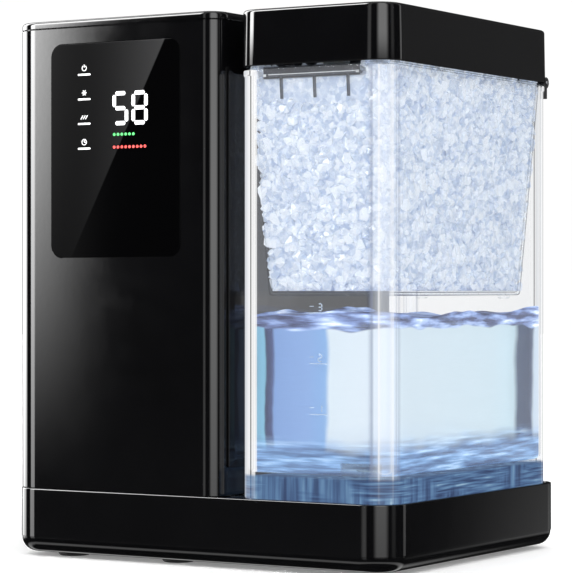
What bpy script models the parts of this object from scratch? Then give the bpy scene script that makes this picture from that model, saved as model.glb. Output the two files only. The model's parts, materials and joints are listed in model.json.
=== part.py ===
"""Countertop nugget ice maker: a refrigeration tower on the left, a clear water tank with a lift-out ice
basket and a hinged lid on the right, all standing on one base pan. Metres, +Z up, +X to the right, front
towards -Y. The origin is at the middle of the footprint, on the surface that the feet stand on."""

import math

import bmesh
import bpy
from mathutils import Vector

# Driving dimensions
WIDTH = 0.316
DEPTH = 0.262
FOOT_HEIGHT = 0.0028
FOOT_RADIUS = 0.0115
BASE_TOP = 0.049
TOWER_TOP = 0.386
LID_TOP = 0.385
LID_BOTTOM = 0.346
TOWER_WIDTH = 0.1797
BODY_DEPTH = 0.2496
TANK_WIDTH = 0.1220
TANK_TOP = 0.3436
TANK_FLOOR = 0.067
BASKET_FLOOR = 0.1885
GAP = 0.0003  # clearance between touching pieces
SHELL = 0.003  # moulded wall
OVERRUN = 0.002  # how far cutters run past the walls that they cut

# Places worked out from them
LEFT, RIGHT = -WIDTH / 2, WIDTH / 2
FRONT, REAR = -DEPTH / 2, DEPTH / 2
BODY_REAR = FRONT + BODY_DEPTH
TOWER_RIGHT = LEFT + TOWER_WIDTH
TOWER_BOTTOM = BASE_TOP + GAP
CAP_SEAM = TOWER_TOP - 0.0054
TANK_RIGHT = RIGHT - 0.0006
TANK_LEFT = TANK_RIGHT - TANK_WIDTH
TANK_FRONT = FRONT + 0.0015
TANK_REAR = BODY_REAR - 0.0006
DECK_BOTTOM, DECK_TOP = BASE_TOP - 0.0035, BASE_TOP - 0.0003
SPLIT = TOWER_RIGHT + 0.004  # where the two decks meet

# Corner radii
BASE_RADII = (0.022, 0.0225, 0.020, 0.016)
TOWER_RADII = (0.022, 0.0131, 0.008, 0.012)
TANK_RADII = (0.0163, 0.0178, 0.0163, 0.010)
LEAST_RADIUS = 0.0006

# The freezing column, its gears and the ice's way out
COLUMN = (-0.030, 0.006)
BARREL_OUTER, BARREL_INNER = 0.0235, 0.0210
BARREL_BOTTOM, BARREL_TOP = 0.1205, 0.316
NIPPLE_Z = 0.1325
SHAFT_BORE = 0.0064
WELL_RADIUS = 0.0280
GEAR_MODULE = 0.0015
AUGER_TEETH, PINION_TEETH = 36, 12
ADDENDUM, DEDENDUM = 0.85, 1.15
ROOT_SHARE, TIP_SHARE = 0.36, 0.13
GEAR_BOTTOM, GEAR_TOP = 0.104, 0.114
PINION_AT = (COLUMN[0], COLUMN[1] - GEAR_MODULE * (AUGER_TEETH + PINION_TEETH) / 2)
CHUTE_HALF_WIDTH = 0.020
CHUTE_BOTTOM, CHUTE_TOP = 0.350, 0.375

# Ice basket: its outline under the rim and at the floor, as left, right, front and rear
BASKET_TOP = 0.3455
BASKET_RIM = BASKET_TOP - 0.0016
BASKET_HIGH = (0.0395, 0.1533, -0.1254, 0.1139)
BASKET_LOW = (0.0490, 0.1420, -0.1150, 0.1050)
BASKET_WALL = 0.0018
BASKET_FLANGE = 0.0016
BASKET_RADIUS = 0.012

# Hinge of the lid
HINGE_Y, HINGE_Z = 0.1245, 0.3475
HINGE_RADIUS, PIN_RADIUS = 0.0042, 0.0018
HINGE_LEFT, HINGE_RIGHT = 0.045, 0.150
LEFT_ARM_X, RIGHT_ARM_X = (0.0610, 0.0760), (0.1190, 0.1340)

# Air path
FAN_AT = (-0.080, 0.270)
FAN_ROTOR_Y = (0.092, 0.1035)
FAN_OPENING = 0.050

# Compressor, pump, drain and the socket for the mains lead
COMPRESSOR_AT = (-0.100, 0.060)
PUMP_AT = (-0.005, 0.084)
PUMP_OUTLET_Z = 0.064
OUTLET_AT = (0.111, -0.076)
DRAIN_AT = (-0.060, 0.068)
INLET_X, INLET_Z = (-0.040, -0.012), (0.080, 0.100)

# Openings in the tower's rear and left walls
REAR_OPENING_X, REAR_OPENING_Z = (-0.142, 0.006), (0.0555, 0.366)
SIDE_OPENING_Y, SIDE_OPENING_Z = (-0.020, 0.094), (0.100, 0.320)

# Control glass
GLASS_X = (-0.1204, -0.0091)
GLASS_Z = (0.2155, 0.3685)
GLASS_RADIUS = 0.0095

COLORS = {
    "gloss_black": ((0.008, 0.008, 0.009, 1), 0.08, 0.0),
    "matte_black": ((0.02, 0.02, 0.02, 1), 0.55, 0.0),
    "black_glass": ((0.004, 0.004, 0.005, 1), 0.03, 0.0),
    "clear_plastic": ((0.86, 0.90, 0.94, 1), 0.04, 0.0),
    "smoke_plastic": ((0.20, 0.21, 0.23, 1), 0.08, 0.0),
    "rubber": ((0.015, 0.015, 0.015, 1), 0.8, 0.0),
    "steel": ((0.55, 0.56, 0.58, 1), 0.3, 1.0),
    "dark_steel": ((0.03, 0.03, 0.035, 1), 0.4, 0.6),
    "copper": ((0.72, 0.33, 0.18, 1), 0.25, 1.0),
    "aluminium": ((0.75, 0.76, 0.78, 1), 0.35, 1.0),
    "brass": ((0.70, 0.52, 0.22, 1), 0.3, 1.0),
    "white_nylon": ((0.82, 0.82, 0.78, 1), 0.45, 0.0),
    "foam": ((0.05, 0.05, 0.055, 1), 0.9, 0.0),
    "board_green": ((0.02, 0.16, 0.07, 1), 0.45, 0.0),
    "silicone": ((0.75, 0.76, 0.76, 1), 0.4, 0.0),
    "grey_plastic": ((0.16, 0.17, 0.18, 1), 0.4, 0.0),
}
CLEAR = {"clear_plastic": 0.9, "smoke_plastic": 0.5}
SHARP_ANGLE = math.radians(32)


# ---------------------------------------------------------------- helpers


def clear_scene():
    for obj in list(bpy.data.objects):
        bpy.data.objects.remove(obj, do_unlink=True)


def material(look):
    """One Principled material for each look, made when it is first asked for."""
    found = bpy.data.materials.get(look)
    if found:
        return found
    made = bpy.data.materials.new(look)
    made.use_nodes = True
    shader = made.node_tree.nodes["Principled BSDF"]
    color, roughness, metallic = COLORS[look]
    shader.inputs["Base Color"].default_value = color
    shader.inputs["Roughness"].default_value = roughness
    shader.inputs["Metallic"].default_value = metallic
    shader.inputs["Transmission Weight"].default_value = CLEAR.get(look, 0.0)
    made.diffuse_color = color
    return made


def add_object(name, mesh_maker, look):
    """A new object from a bmesh, with its normals facing out and its round faces smooth."""
    bmesh.ops.recalc_face_normals(mesh_maker, faces=mesh_maker.faces)
    mesh = bpy.data.meshes.new(name)
    mesh_maker.to_mesh(mesh)
    mesh_maker.free()
    mesh.shade_smooth()
    mesh.set_sharp_from_angle(angle=SHARP_ANGLE)
    obj = bpy.data.objects.new(name, mesh)
    bpy.context.scene.collection.objects.link(obj)
    if look:
        mesh.materials.append(material(look))
    else:
        obj.hide_render = True
        obj.display_type = "WIRE"
    return obj


def loft(name, rings, look=None, closed=False):
    """A solid through rings of equally many points, with capped ends or, if closed, ends that are joined."""
    maker = bmesh.new()
    rows = [[maker.verts.new(point) for point in ring] for ring in rings]
    count = len(rows[0])
    pairs = list(zip(rows, rows[1:]))
    if closed:
        pairs.append((rows[-1], rows[0]))
    for low, high in pairs:
        for i in range(count):
            j = (i + 1) % count
            maker.faces.new((low[i], low[j], high[j], high[i]))
    if not closed:
        maker.faces.new(list(reversed(rows[0])))
        maker.faces.new(rows[-1])
    return add_object(name, maker, look)


def rounded_rect(x0, x1, y0, y1, radii, steps=6):
    """An outline, counter-clockwise. The radii are front left, front right, rear right and rear left."""
    corners = [(x0, y0, 1, 1, 180), (x1, y0, -1, 1, 270), (x1, y1, -1, -1, 0), (x0, y1, 1, -1, 90)]
    points = []
    for (x, y, sx, sy, start), radius in zip(corners, radii):
        for k in range(steps + 1):
            angle = math.radians(start + 90 * k / steps)
            points.append(
                (x + sx * radius + radius * math.cos(angle), y + sy * radius + radius * math.sin(angle))
            )
    return points


def inset_rect(x0, x1, y0, y1, radii, inset, steps=6):
    """The same outline moved inwards, or outwards where inset is negative."""
    smaller = [max(radius - inset, LEAST_RADIUS) for radius in radii]
    return rounded_rect(x0 + inset, x1 - inset, y0 + inset, y1 - inset, smaller, steps)


def circle(centre, radius, steps=24, turn=0.0):
    return [
        (
            centre[0] + radius * math.cos(turn + 2 * math.pi * k / steps),
            centre[1] + radius * math.sin(turn + 2 * math.pi * k / steps),
        )
        for k in range(steps)
    ]


def on_z(outline, z):
    return [Vector((a, b, z)) for a, b in outline]


def on_y(outline, y):
    return [Vector((a, y, b)) for a, b in outline]


def on_x(outline, x):
    return [Vector((x, a, b)) for a, b in outline]


PLANES = {"X": on_x, "Y": on_y, "Z": on_z}


def prism(name, axis, outline, start, end, look=None):
    place = PLANES[axis]
    return loft(name, [place(outline, start), place(outline, end)], look)


def turned(name, axis, centre, profile, look=None, steps=24, closed=False):
    """A turned solid. The profile is (distance along the axis, radius); a closed one is a tube's section."""
    place = PLANES[axis]
    rings = [place(circle(centre, radius, steps), along) for along, radius in profile]
    return loft(name, rings, look, closed)


def tube(name, axis, centre, inner, outer, start, end, look=None, steps=24):
    profile = [(start, outer), (end, outer), (end, inner), (start, inner)]
    return turned(name, axis, centre, profile, look, steps, closed=True)


def box(name, x, y, z, look=None):
    outline = [(x[0], y[0]), (x[1], y[0]), (x[1], y[1]), (x[0], y[1])]
    return prism(name, "Z", outline, z[0], z[1], look)


def boxes(name, spans, look=None):
    """One object that holds many separate boxes, for use as a cutter."""
    maker = bmesh.new()
    for x, y, z in spans:
        corners = ((x[0], y[0]), (x[1], y[0]), (x[1], y[1]), (x[0], y[1]))
        low = [maker.verts.new((a, b, z[0])) for a, b in corners]
        high = [maker.verts.new((v.co.x, v.co.y, z[1])) for v in low]
        maker.faces.new(reversed(low))
        maker.faces.new(high)
        for i in range(4):
            j = (i + 1) % 4
            maker.faces.new((low[i], low[j], high[j], high[i]))
    return add_object(name, maker, look)


def smooth_path(knots, pieces=5):
    """Points along a Catmull-Rom curve through the knots."""
    knots = [Vector(knot) for knot in knots]
    padded = [2 * knots[0] - knots[1], *knots, 2 * knots[-1] - knots[-2]]
    path = []
    for a, b, c, d in zip(padded, padded[1:], padded[2:], padded[3:]):
        for k in range(pieces):
            t = k / pieces
            square = (2 * a - 5 * b + 4 * c - d) * t**2
            cube = (3 * b - a - 3 * c + d) * t**3
            path.append((2 * b + (c - a) * t + square + cube) / 2)
    path.append(knots[-1])
    return path


def swept(name, path, radius, look=None, sides=8, bore=0.0):
    """A round tube or rod along a path, its section carried without twist."""
    tangents = []
    for i in range(len(path)):
        ahead, behind = path[min(i + 1, len(path) - 1)], path[max(i - 1, 0)]
        tangents.append((ahead - behind).normalized())
    mostly_level = abs(tangents[0].z) < 0.9
    start = Vector((0, 0, 1)) if mostly_level else Vector((1, 0, 0))
    across = tangents[0].cross(start).normalized()
    frames = []
    for tangent in tangents:
        across = (across - tangent * across.dot(tangent)).normalized()
        frames.append((across.copy(), tangent.cross(across)))

    def section(i, size):
        u, v = frames[i]
        angles = [2 * math.pi * k / sides for k in range(sides)]
        return [path[i] + size * (math.cos(a) * u + math.sin(a) * v) for a in angles]

    rings = [section(i, radius) for i in range(len(path))]
    if not bore:
        return loft(name, rings, look)
    inside = [section(i, bore) for i in reversed(range(len(path)))]
    return loft(name, rings + inside, look, closed=True)


def helix(centre, radius, low, high, turns, steps_per_turn):
    count = round(turns * steps_per_turn)
    return [
        Vector(
            (
                centre[0] + radius * math.cos(2 * math.pi * k / steps_per_turn),
                centre[1] + radius * math.sin(2 * math.pi * k / steps_per_turn),
                low + (high - low) * k / count,
            )
        )
        for k in range(count + 1)
    ]


def boolean(obj, other, operation):
    other.hide_render = True
    other.display_type = "WIRE"
    modifier = obj.modifiers.new(f"{operation.lower()} {other.name}", "BOOLEAN")
    modifier.operation = operation
    modifier.solver = "EXACT"
    modifier.object = other
    return obj


def cut(obj, *cutters):
    for cutter in cutters:
        boolean(obj, cutter, "DIFFERENCE")
    return obj


def fuse(obj, *others):
    for other in others:
        boolean(obj, other, "UNION")
    return obj


def pivot(name, at, *parts):
    """An empty on a joint's axis that carries its parts."""
    empty = bpy.data.objects.new(name, None)
    empty.location = at
    bpy.context.scene.collection.objects.link(empty)
    for part in parts:
        part.data.transform(part.matrix_world.Translation(-Vector(at)))
        part.parent = empty
        for modifier in part.modifiers:
            if modifier.type == "BOOLEAN" and modifier.object.parent is None:
                modifier.object.data.transform(part.matrix_world.Translation(-Vector(at)))
                modifier.object.parent = empty
    return empty


# ---------------------------------------------------------------- base


def base_pan():
    """The tray under everything: a rounded lower edge under a fine crease, and bosses for the decks."""
    rim_bevel, crease, round_radius = 0.0006, 0.0005, 0.0092
    box_of = (LEFT, RIGHT, FRONT, REAR, BASE_RADII)
    rings = []
    round_steps = 4
    for k in range(round_steps + 1):
        angle = math.pi / 2 * k / round_steps
        inset = crease + round_radius * (1 - math.sin(angle))
        rings.append(on_z(inset_rect(*box_of, inset), FOOT_HEIGHT + round_radius * (1 - math.cos(angle))))
    crease_z = FOOT_HEIGHT + round_radius
    rings.append(on_z(inset_rect(*box_of, 0.0), crease_z + crease))
    rings.append(on_z(inset_rect(*box_of, 0.0), BASE_TOP - rim_bevel))
    rings.append(on_z(inset_rect(*box_of, rim_bevel), BASE_TOP))
    inner_slope = 0.010
    rings.append(on_z(inset_rect(*box_of, SHELL), BASE_TOP))
    rings.append(on_z(inset_rect(*box_of, SHELL), FOOT_HEIGHT + 0.009))
    rings.append(on_z(inset_rect(*box_of, inner_slope), FOOT_HEIGHT + SHELL))
    pan = loft("base_pan", rings, "gloss_black")
    boss_radius, from_side, from_end = 0.006, 0.012, 0.013
    boss_profile = [(FOOT_HEIGHT + 0.001, boss_radius), (DECK_BOTTOM - GAP, boss_radius)]
    for x in (LEFT + from_side, SPLIT, RIGHT - from_side):
        for y in (FRONT + from_end, REAR - from_end):
            fuse(pan, turned("boss", "Z", (x, y), boss_profile, steps=10))


def feet():
    places = {
        "foot_front_left": (-0.1180, FRONT + 0.025),
        "foot_front_middle": (-0.0275, FRONT + 0.026),
        "foot_front_right": (0.1130, FRONT + 0.042),
        "foot_rear_left": (-0.1125, REAR - 0.030),
        "foot_rear_right": (0.1130, REAR - 0.030),
    }
    chamfer = 0.0010
    profile = [(0.0, FOOT_RADIUS - chamfer), (chamfer, FOOT_RADIUS), (FOOT_HEIGHT - GAP, FOOT_RADIUS)]
    for name, centre in places.items():
        turned(name, "Z", centre, profile, "rubber", steps=20)


def decks():
    """The metal chassis plate that carries the tower's works, and the plastic deck that the tank stands on."""
    edge = SHELL + GAP
    front, rear = FRONT + edge, REAR - edge
    hose_hole, small = 0.008, 0.001
    hole_profile = [(DECK_BOTTOM - OVERRUN, hose_hole), (DECK_TOP + OVERRUN, hose_hole)]
    corners = [radius - edge for radius in BASE_RADII]
    left = rounded_rect(LEFT + edge, SPLIT, front, rear, (corners[0], small, small, corners[3]))
    chassis = prism("chassis_plate", "Z", left, DECK_BOTTOM, DECK_TOP, "steel")
    cut(chassis, turned("hole", "Z", PUMP_AT, hole_profile, steps=12))
    right = rounded_rect(SPLIT + GAP, RIGHT - edge, front, rear, (small, corners[1], corners[2], small))
    deck = prism("tank_deck", "Z", right, DECK_BOTTOM, DECK_TOP, "gloss_black")
    cut(deck, turned("hole", "Z", OUTLET_AT, hole_profile, steps=12))


# ---------------------------------------------------------------- tower


def tower_shell():
    """Front, sides and rear frame in one moulding, open at the top and bottom."""
    box_of = (LEFT + 0.0004, TOWER_RIGHT, FRONT + 0.0004, BODY_REAR, TOWER_RADII)
    top = CAP_SEAM - GAP
    rings = [
        on_z(inset_rect(*box_of, 0.0), TOWER_BOTTOM),
        on_z(inset_rect(*box_of, 0.0), top),
        on_z(inset_rect(*box_of, SHELL), top),
        on_z(inset_rect(*box_of, SHELL), TOWER_BOTTOM),
    ]
    shell = loft("tower_shell", rings, "gloss_black", closed=True)
    past, depth = 0.005, 0.008
    outside, inside = FRONT - past, FRONT + 0.010
    pocket_floor = FRONT + 0.0022
    slack, ledge = 0.0004, 0.006
    pocket = inset_rect(*GLASS_X, *GLASS_Z, [GLASS_RADIUS - slack] * 4, -slack, 5)
    window = inset_rect(*GLASS_X, *GLASS_Z, [0.004 + ledge] * 4, ledge, 2)
    rear = (REAR_OPENING_X, (BODY_REAR - depth, BODY_REAR + past), REAR_OPENING_Z)
    side = ((LEFT - past, LEFT + depth), SIDE_OPENING_Y, SIDE_OPENING_Z)
    half_port = CHUTE_HALF_WIDTH + GAP
    port = (
        (TOWER_RIGHT - depth, TOWER_RIGHT + past),
        (COLUMN[1] - half_port, COLUMN[1] + half_port),
        (CHUTE_BOTTOM - GAP, CHUTE_TOP + GAP),
    )
    cut(
        shell,
        prism("glass pocket", "Y", pocket, outside, pocket_floor),
        prism("display window", "Y", window, outside, inside),
        box("rear opening", *rear),
        box("side opening", *side),
        box("ice port", *port),
    )


def tower_cap():
    """The lid of the tower: a rounded upper edge, and a rim that locates it inside the shell."""
    box_of = (LEFT + 0.0004, TOWER_RIGHT, FRONT + 0.0004, BODY_REAR, TOWER_RADII)
    edge, rim_out, rim_in, rim_drop = 0.0022, SHELL + GAP, SHELL + 0.0022, 0.004
    rings = [
        on_z(inset_rect(*box_of, rim_in), TOWER_TOP - 0.003),
        on_z(inset_rect(*box_of, rim_in), CAP_SEAM - rim_drop),
        on_z(inset_rect(*box_of, rim_out), CAP_SEAM - rim_drop),
        on_z(inset_rect(*box_of, rim_out), CAP_SEAM),
        on_z(inset_rect(*box_of, 0.0), CAP_SEAM),
    ]
    for angle in (0, 30, 60, 90):
        turn = math.radians(angle)
        inset = edge * (1 - math.cos(turn))
        rings.append(on_z(inset_rect(*box_of, inset), TOWER_TOP - edge + edge * math.sin(turn)))
    loft("tower_cap", rings, "gloss_black")


def rear_panel():
    """The screwed-on rear cover, with louvres in front of the fan and a cut-out for the power inlet."""
    border, corner = 0.006, 0.005
    x = (REAR_OPENING_X[0] - border, REAR_OPENING_X[1] + border)
    z = (REAR_OPENING_Z[0] - corner, REAR_OPENING_Z[1] + border)
    near, far = BODY_REAR + GAP, BODY_REAR + 0.0023
    panel = prism("rear_panel", "Y", rounded_rect(*x, *z, [corner] * 4, 3), near, far, "matte_black")
    through = (near - OVERRUN, far + OVERRUN)
    slots = []
    rows, slot_length, half_slot, half_rib = 11, 0.050, 0.0025, 0.002
    for row in range(rows):
        at = FAN_AT[1] + FAN_OPENING * (2 * (row + 0.5) / rows - 1)
        for start in (FAN_AT[0] - half_rib - slot_length, FAN_AT[0] + half_rib):
            slots.append(((start, start + slot_length), through, (at - half_slot, at + half_slot)))
    cut(panel, boxes("louvres", slots))
    slack, drain_hole = 0.0005, 0.0065
    inlet_x = (INLET_X[0] - slack, INLET_X[1] + slack)
    inlet_z = (INLET_Z[0] - slack, INLET_Z[1] + slack)
    cut(panel, box("inlet cut-out", inlet_x, through, inlet_z))
    drain_profile = [(through[0], drain_hole), (through[1], drain_hole)]
    cut(panel, turned("drain cut-out", "Y", DRAIN_AT, drain_profile, steps=16))


def side_grille():
    """The slatted intake let into the tower's left wall."""
    y = (SIDE_OPENING_Y[0] + GAP, SIDE_OPENING_Y[1] - GAP)
    z = (SIDE_OPENING_Z[0] + GAP, SIDE_OPENING_Z[1] - GAP)
    x = (LEFT + 0.0007, LEFT + 0.0027)
    grille = box("side_vent_grille", x, y, z, "matte_black")
    rows, border, slat = 16, 0.006, 0.006
    through = (x[0] - OVERRUN, x[1] + OVERRUN)
    pitch = (z[1] - z[0] - 2 * border) / rows
    slots = []
    for row in range(rows):
        low = z[0] + border + row * pitch + slat / 2
        slots.append((through, (y[0] + border, y[1] - border), (low, low + pitch - slat)))
    cut(grille, boxes("slats", slots))


def dock_plate():
    """The bevelled plate on the tower's right wall that the tank backs up to."""
    x0 = TOWER_RIGHT + GAP
    straight, reach, bevel = 0.0012, 0.0026, 0.0052
    box_of = (FRONT + 0.0129, 0.104, 0.069, 0.3485, [0.002] * 4)
    whole = inset_rect(*box_of, 0.0, 2)
    inner = inset_rect(*box_of, bevel, 2)
    rings = [on_x(whole, x0), on_x(whole, x0 + straight), on_x(inner, x0 + reach)]
    loft("dock_plate", rings, "gloss_black")


def control_panel():
    """The black glass in its pocket, with the display module and the control board behind it."""
    outline = rounded_rect(*GLASS_X, *GLASS_Z, [GLASS_RADIUS - 0.0004] * 4, 8)
    back, face = FRONT + 0.0019, FRONT + 0.0003
    prism("control_glass", "Y", outline, back, face, "black_glass")
    window_back = FRONT + 0.0040
    module_depth, board_at, board_back = 0.006, window_back + 0.0065, window_back + 0.0081
    display_y = (window_back, window_back + module_depth)
    box("display_module", (-0.073, -0.030), display_y, (0.283, 0.345), "grey_plastic")
    pads = box("touch pads", (-0.106, -0.080), (window_back, window_back + 0.007), (0.283, 0.358))
    board = box("control_board", (-0.113, -0.018), (board_at, board_back), (0.230, 0.362), "board_green")
    fuse(board, pads)


def power_parts():
    """The supply board on the tower's front left, and the socket for the mains lead in the rear cover."""
    board = box("power_board", (-0.1503, -0.1487), (-0.106, -0.028), (0.070, 0.190), "board_green")
    heat_sink = box("heat sink", (-0.1488, -0.1300), (-0.090, -0.078), (0.090, 0.150))
    coil_block = box("transformer", (-0.1488, -0.1280), (-0.070, -0.040), (0.095, 0.130))
    fuse(board, heat_sink, coil_block)
    ear, lip, wall = 0.007, 0.003, 0.002
    flange_y = (BODY_REAR + 0.0026, BODY_REAR + 0.0046)
    flange_x = (INLET_X[0] - ear, INLET_X[1] + ear)
    flange = box("power_inlet", flange_x, flange_y, (INLET_Z[0] - lip, INLET_Z[1] + lip), "matte_black")
    fuse(flange, box("socket body", INLET_X, (BODY_REAR - 0.022, BODY_REAR + 0.004), INLET_Z))
    socket_x = (INLET_X[0] + wall, INLET_X[1] - wall)
    socket_z = (INLET_Z[0] + wall, INLET_Z[1] - wall)
    cut(flange, box("socket hole", socket_x, (BODY_REAR - 0.017, BODY_REAR + 0.008), socket_z))


# ---------------------------------------------------------------- refrigeration


def compressor_group():
    """The hermetic compressor on its welded foot plate, and three rubber grommets."""
    x, y = COMPRESSOR_AT
    plate_z = (0.0575, 0.0595)
    radius, seam_radius, half_plate, bolt = 0.042, 0.0435, 0.046, 0.036
    can = [
        (plate_z[1] - 0.001, 0.036), (0.066, radius), (0.108, radius), (0.110, seam_radius),
        (0.113, seam_radius), (0.115, radius), (0.152, radius), (0.164, 0.037), (0.171, 0.026), (0.174, 0.010),
    ]
    body = turned("compressor", "Z", (x, y), can, "dark_steel", steps=28)
    cover = box("terminal box", (x - 0.016, x + 0.016), (y - 0.0478, y - 0.030), (0.120, 0.146))
    outline = rounded_rect(x - half_plate, x + half_plate, y - half_plate, y + half_plate, [0.010] * 4, 3)
    fuse(body, cover, prism("foot plate", "Z", outline, *plate_z))
    for k, (dx, dy) in enumerate(((-bolt, -bolt), (bolt, -bolt), (0.0, bolt))):
        profile = [(DECK_TOP + GAP, 0.0075), (0.0515, 0.0060), (0.0545, 0.0060), (plate_z[0] - GAP, 0.0075)]
        turned(f"compressor_grommet_{k + 1}", "Z", (x + dx, y + dy), profile, "rubber", steps=12)


def condenser():
    """Fins and end plates cut from one block, as they act in the air stream."""
    x, y, z = (-0.145, -0.015), (0.066, 0.086), (0.205, 0.335)
    block = box("condenser", x, y, z, "aluminium")
    fins, border, fin = 18, 0.006, 0.0024
    through = (y[0] - OVERRUN, y[1] + OVERRUN)
    pitch = (x[1] - x[0] - 2 * border) / fins
    air = []
    for k in range(fins):
        low = x[0] + border + k * pitch + fin / 2
        air.append(((low, low + pitch - fin), through, (z[0] + border, z[1] - border)))
    cut(block, boxes("fin gaps", air))


def fan_group():
    """The shroud with its motor arms, the motor, and the rotor that turns between them."""
    x, z = FAN_AT
    front, plate, ring_end, half = 0.0885, 0.002, 0.106, 0.058
    outline = rounded_rect(x - half, x + half, z - half, z + half, [0.006] * 4, 2)
    shroud = prism("fan_shroud", "Y", outline, front, front + plate, "matte_black")
    opening = [(front - 0.003, FAN_OPENING), (front + 0.006, FAN_OPENING)]
    cut(shroud, turned("fan opening", "Y", FAN_AT, opening, steps=28))
    inner, outer = FAN_OPENING - 0.001, FAN_OPENING + 0.002
    fuse(shroud, tube("shroud ring", "Y", FAN_AT, inner, outer, front + 0.0005, ring_end, steps=28))
    reach, arm_y, seat = FAN_OPENING + 0.0005, 0.1045, 0.0165
    arms = box("arm", (x - reach, x + reach), (arm_y, 0.1056), (z - 0.003, z + 0.003))
    upright = box("upright arm", (x - 0.0028, x + 0.0028), (arm_y + 0.0001, 0.1055), (z - reach, z + reach))
    hub = turned("motor seat", "Y", FAN_AT, [(arm_y - 0.0002, seat), (ring_end, seat)], steps=20)
    fuse(shroud, arms, upright, hub)
    cut(shroud, turned("shaft hole", "Y", FAN_AT, [(0.098, 0.0034), (0.110, 0.0034)], steps=12))
    # The arms cross inside the ring with faces a tenth of a millimetre apart, which only this solver joins
    for modifier in shroud.modifiers:
        modifier.solver = "MANIFOLD"
    motor = [(ring_end + GAP, 0.0150), (0.1130, 0.0150), (0.1150, 0.0125)]
    turned("fan_motor", "Y", FAN_AT, motor, "grey_plastic", steps=20)
    rotor_front, rotor_back = FAN_ROTOR_Y
    hub_profile = [(rotor_front, 0.013), (rotor_front + 0.002, 0.015), (rotor_back, 0.015)]
    rotor = turned("fan_rotor", "Y", FAN_AT, hub_profile, "matte_black", steps=20)
    blades = 7
    for k in range(blades):
        fuse(rotor, fan_blade(2 * math.pi * k / blades))
    fuse(rotor, turned("fan shaft", "Y", FAN_AT, [(0.100, 0.0025), (ring_end - GAP, 0.0025)], steps=10))
    pivot("fan_axis", (x, rotor_front, z), rotor)


def fan_blade(turn):
    """One pitched blade that starts inside the hub, wider at its tip."""
    thickness, root, tip = 0.0014, 0.012, FAN_OPENING - 0.0022
    sweep = math.radians(12)
    mid = (FAN_ROTOR_Y[0] + FAN_ROTOR_Y[1]) / 2
    rings = []
    for share in (0.0, 0.5, 1.0):
        radius = root + (tip - root) * share
        half_angle = math.radians(15 + 3 * share)
        lift = 0.0040 + 0.0006 * share
        ring = []
        for side, rise in ((-1, -lift), (1, lift)):
            angle = turn + side * half_angle + sweep * share
            x = FAN_AT[0] + radius * math.cos(angle)
            z = FAN_AT[1] + radius * math.sin(angle)
            for face in (-side, side):
                ring.append(Vector((x, mid + rise + face * thickness / 2, z)))
        rings.append(ring)
    return loft("blade", rings)


def pipework():
    """Copper lines that tie the compressor, condenser, drier and freezing barrel together."""
    cx, cy = COMPRESSOR_AT
    coil_radius, coil_low, coil_high = BARREL_OUTER + 0.0036, 0.146, 0.288
    coil_turns, steps_per_turn = 9, 14
    coil_path = helix(COLUMN, coil_radius, coil_low, coil_high, coil_turns, steps_per_turn)
    swept("evaporator_coil", coil_path, 0.0025, "copper", sides=5)
    x_coil, y_coil = COLUMN[0] + coil_radius, COLUMN[1]
    drier_at = (-0.132, 0.020)
    drier = [(0.196, 0.004), (0.200, 0.0075), (0.232, 0.0075), (0.236, 0.004)]
    turned("filter_drier", "Z", drier_at, drier, "copper", steps=14)
    suction = [
        (x_coil - 0.0002, y_coil + 0.0016, coil_high + 0.0006), (x_coil - 0.0006, 0.0108, coil_high + 0.0018),
        (-0.0051, 0.0155, 0.2945), (-0.0110, 0.0250, 0.3035), (-0.0165, 0.0355, 0.3060), (-0.030, 0.052, 0.306),
        (-0.058, 0.0570, 0.300), (-0.066, 0.0570, 0.240), (-0.080, cy, 0.195), (-0.088, cy, 0.1780),
    ]
    discharge = [
        (cx - 0.010, cy + 0.010, 0.1770), (cx - 0.014, cy + 0.010, 0.188), (-0.126, 0.060, 0.194),
        (-0.148, 0.056, 0.206), (-0.1485, 0.058, 0.260), (-0.1485, 0.062, 0.335), (-0.142, 0.072, 0.3460),
        (-0.134, 0.0755, 0.3450), (-0.132, 0.076, 0.3365),
    ]
    outlet = [
        (-0.140, 0.0657, 0.230), (-0.140, 0.056, 0.232), (-0.140, 0.040, 0.246), (-0.134, 0.022, 0.248),
        (*drier_at, 0.2365),
    ]
    capillary = [
        (*drier_at, 0.1955), (-0.131, 0.018, 0.180), (-0.120, -0.010, 0.150), (-0.080, -0.045, 0.136),
        (-0.030, -0.052, 0.132), (0.002, -0.036, 0.133), (0.0070, -0.0200, 0.1360), (0.0010, -0.0100, 0.1375),
        (x_coil + 0.0003, 0.0005, 0.1420), (x_coil, y_coil - 0.0016, 0.1456),
    ]
    copper_line("suction_pipe", suction, 0.0028)
    copper_line("discharge_pipe", discharge, 0.0022)
    copper_line("condenser_outlet_pipe", outlet, 0.0020)
    copper_line("capillary_tube", capillary, 0.0012)


def copper_line(name, knots, radius):
    swept(name, smooth_path(knots, 3), radius, "copper", sides=6)


# ---------------------------------------------------------------- freezing column


def gear_outline(centre, teeth, phase, slack=0.00028):
    """Straight-flanked teeth, thinned by slack so that the pair keeps its backlash."""
    pitch = GEAR_MODULE * teeth / 2
    tip, root = pitch + ADDENDUM * GEAR_MODULE, pitch - DEDENDUM * GEAR_MODULE
    step = 2 * math.pi / teeth
    half_root = ROOT_SHARE * step - slack / pitch
    half_tip = TIP_SHARE * step - slack / pitch
    points = []
    for k in range(teeth):
        middle = phase + k * step
        for radius, offset in ((root, -half_root), (tip, -half_tip), (tip, half_tip), (root, half_root)):
            angle = middle + offset
            points.append((centre[0] + radius * math.cos(angle), centre[1] + radius * math.sin(angle)))
    return points


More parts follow.
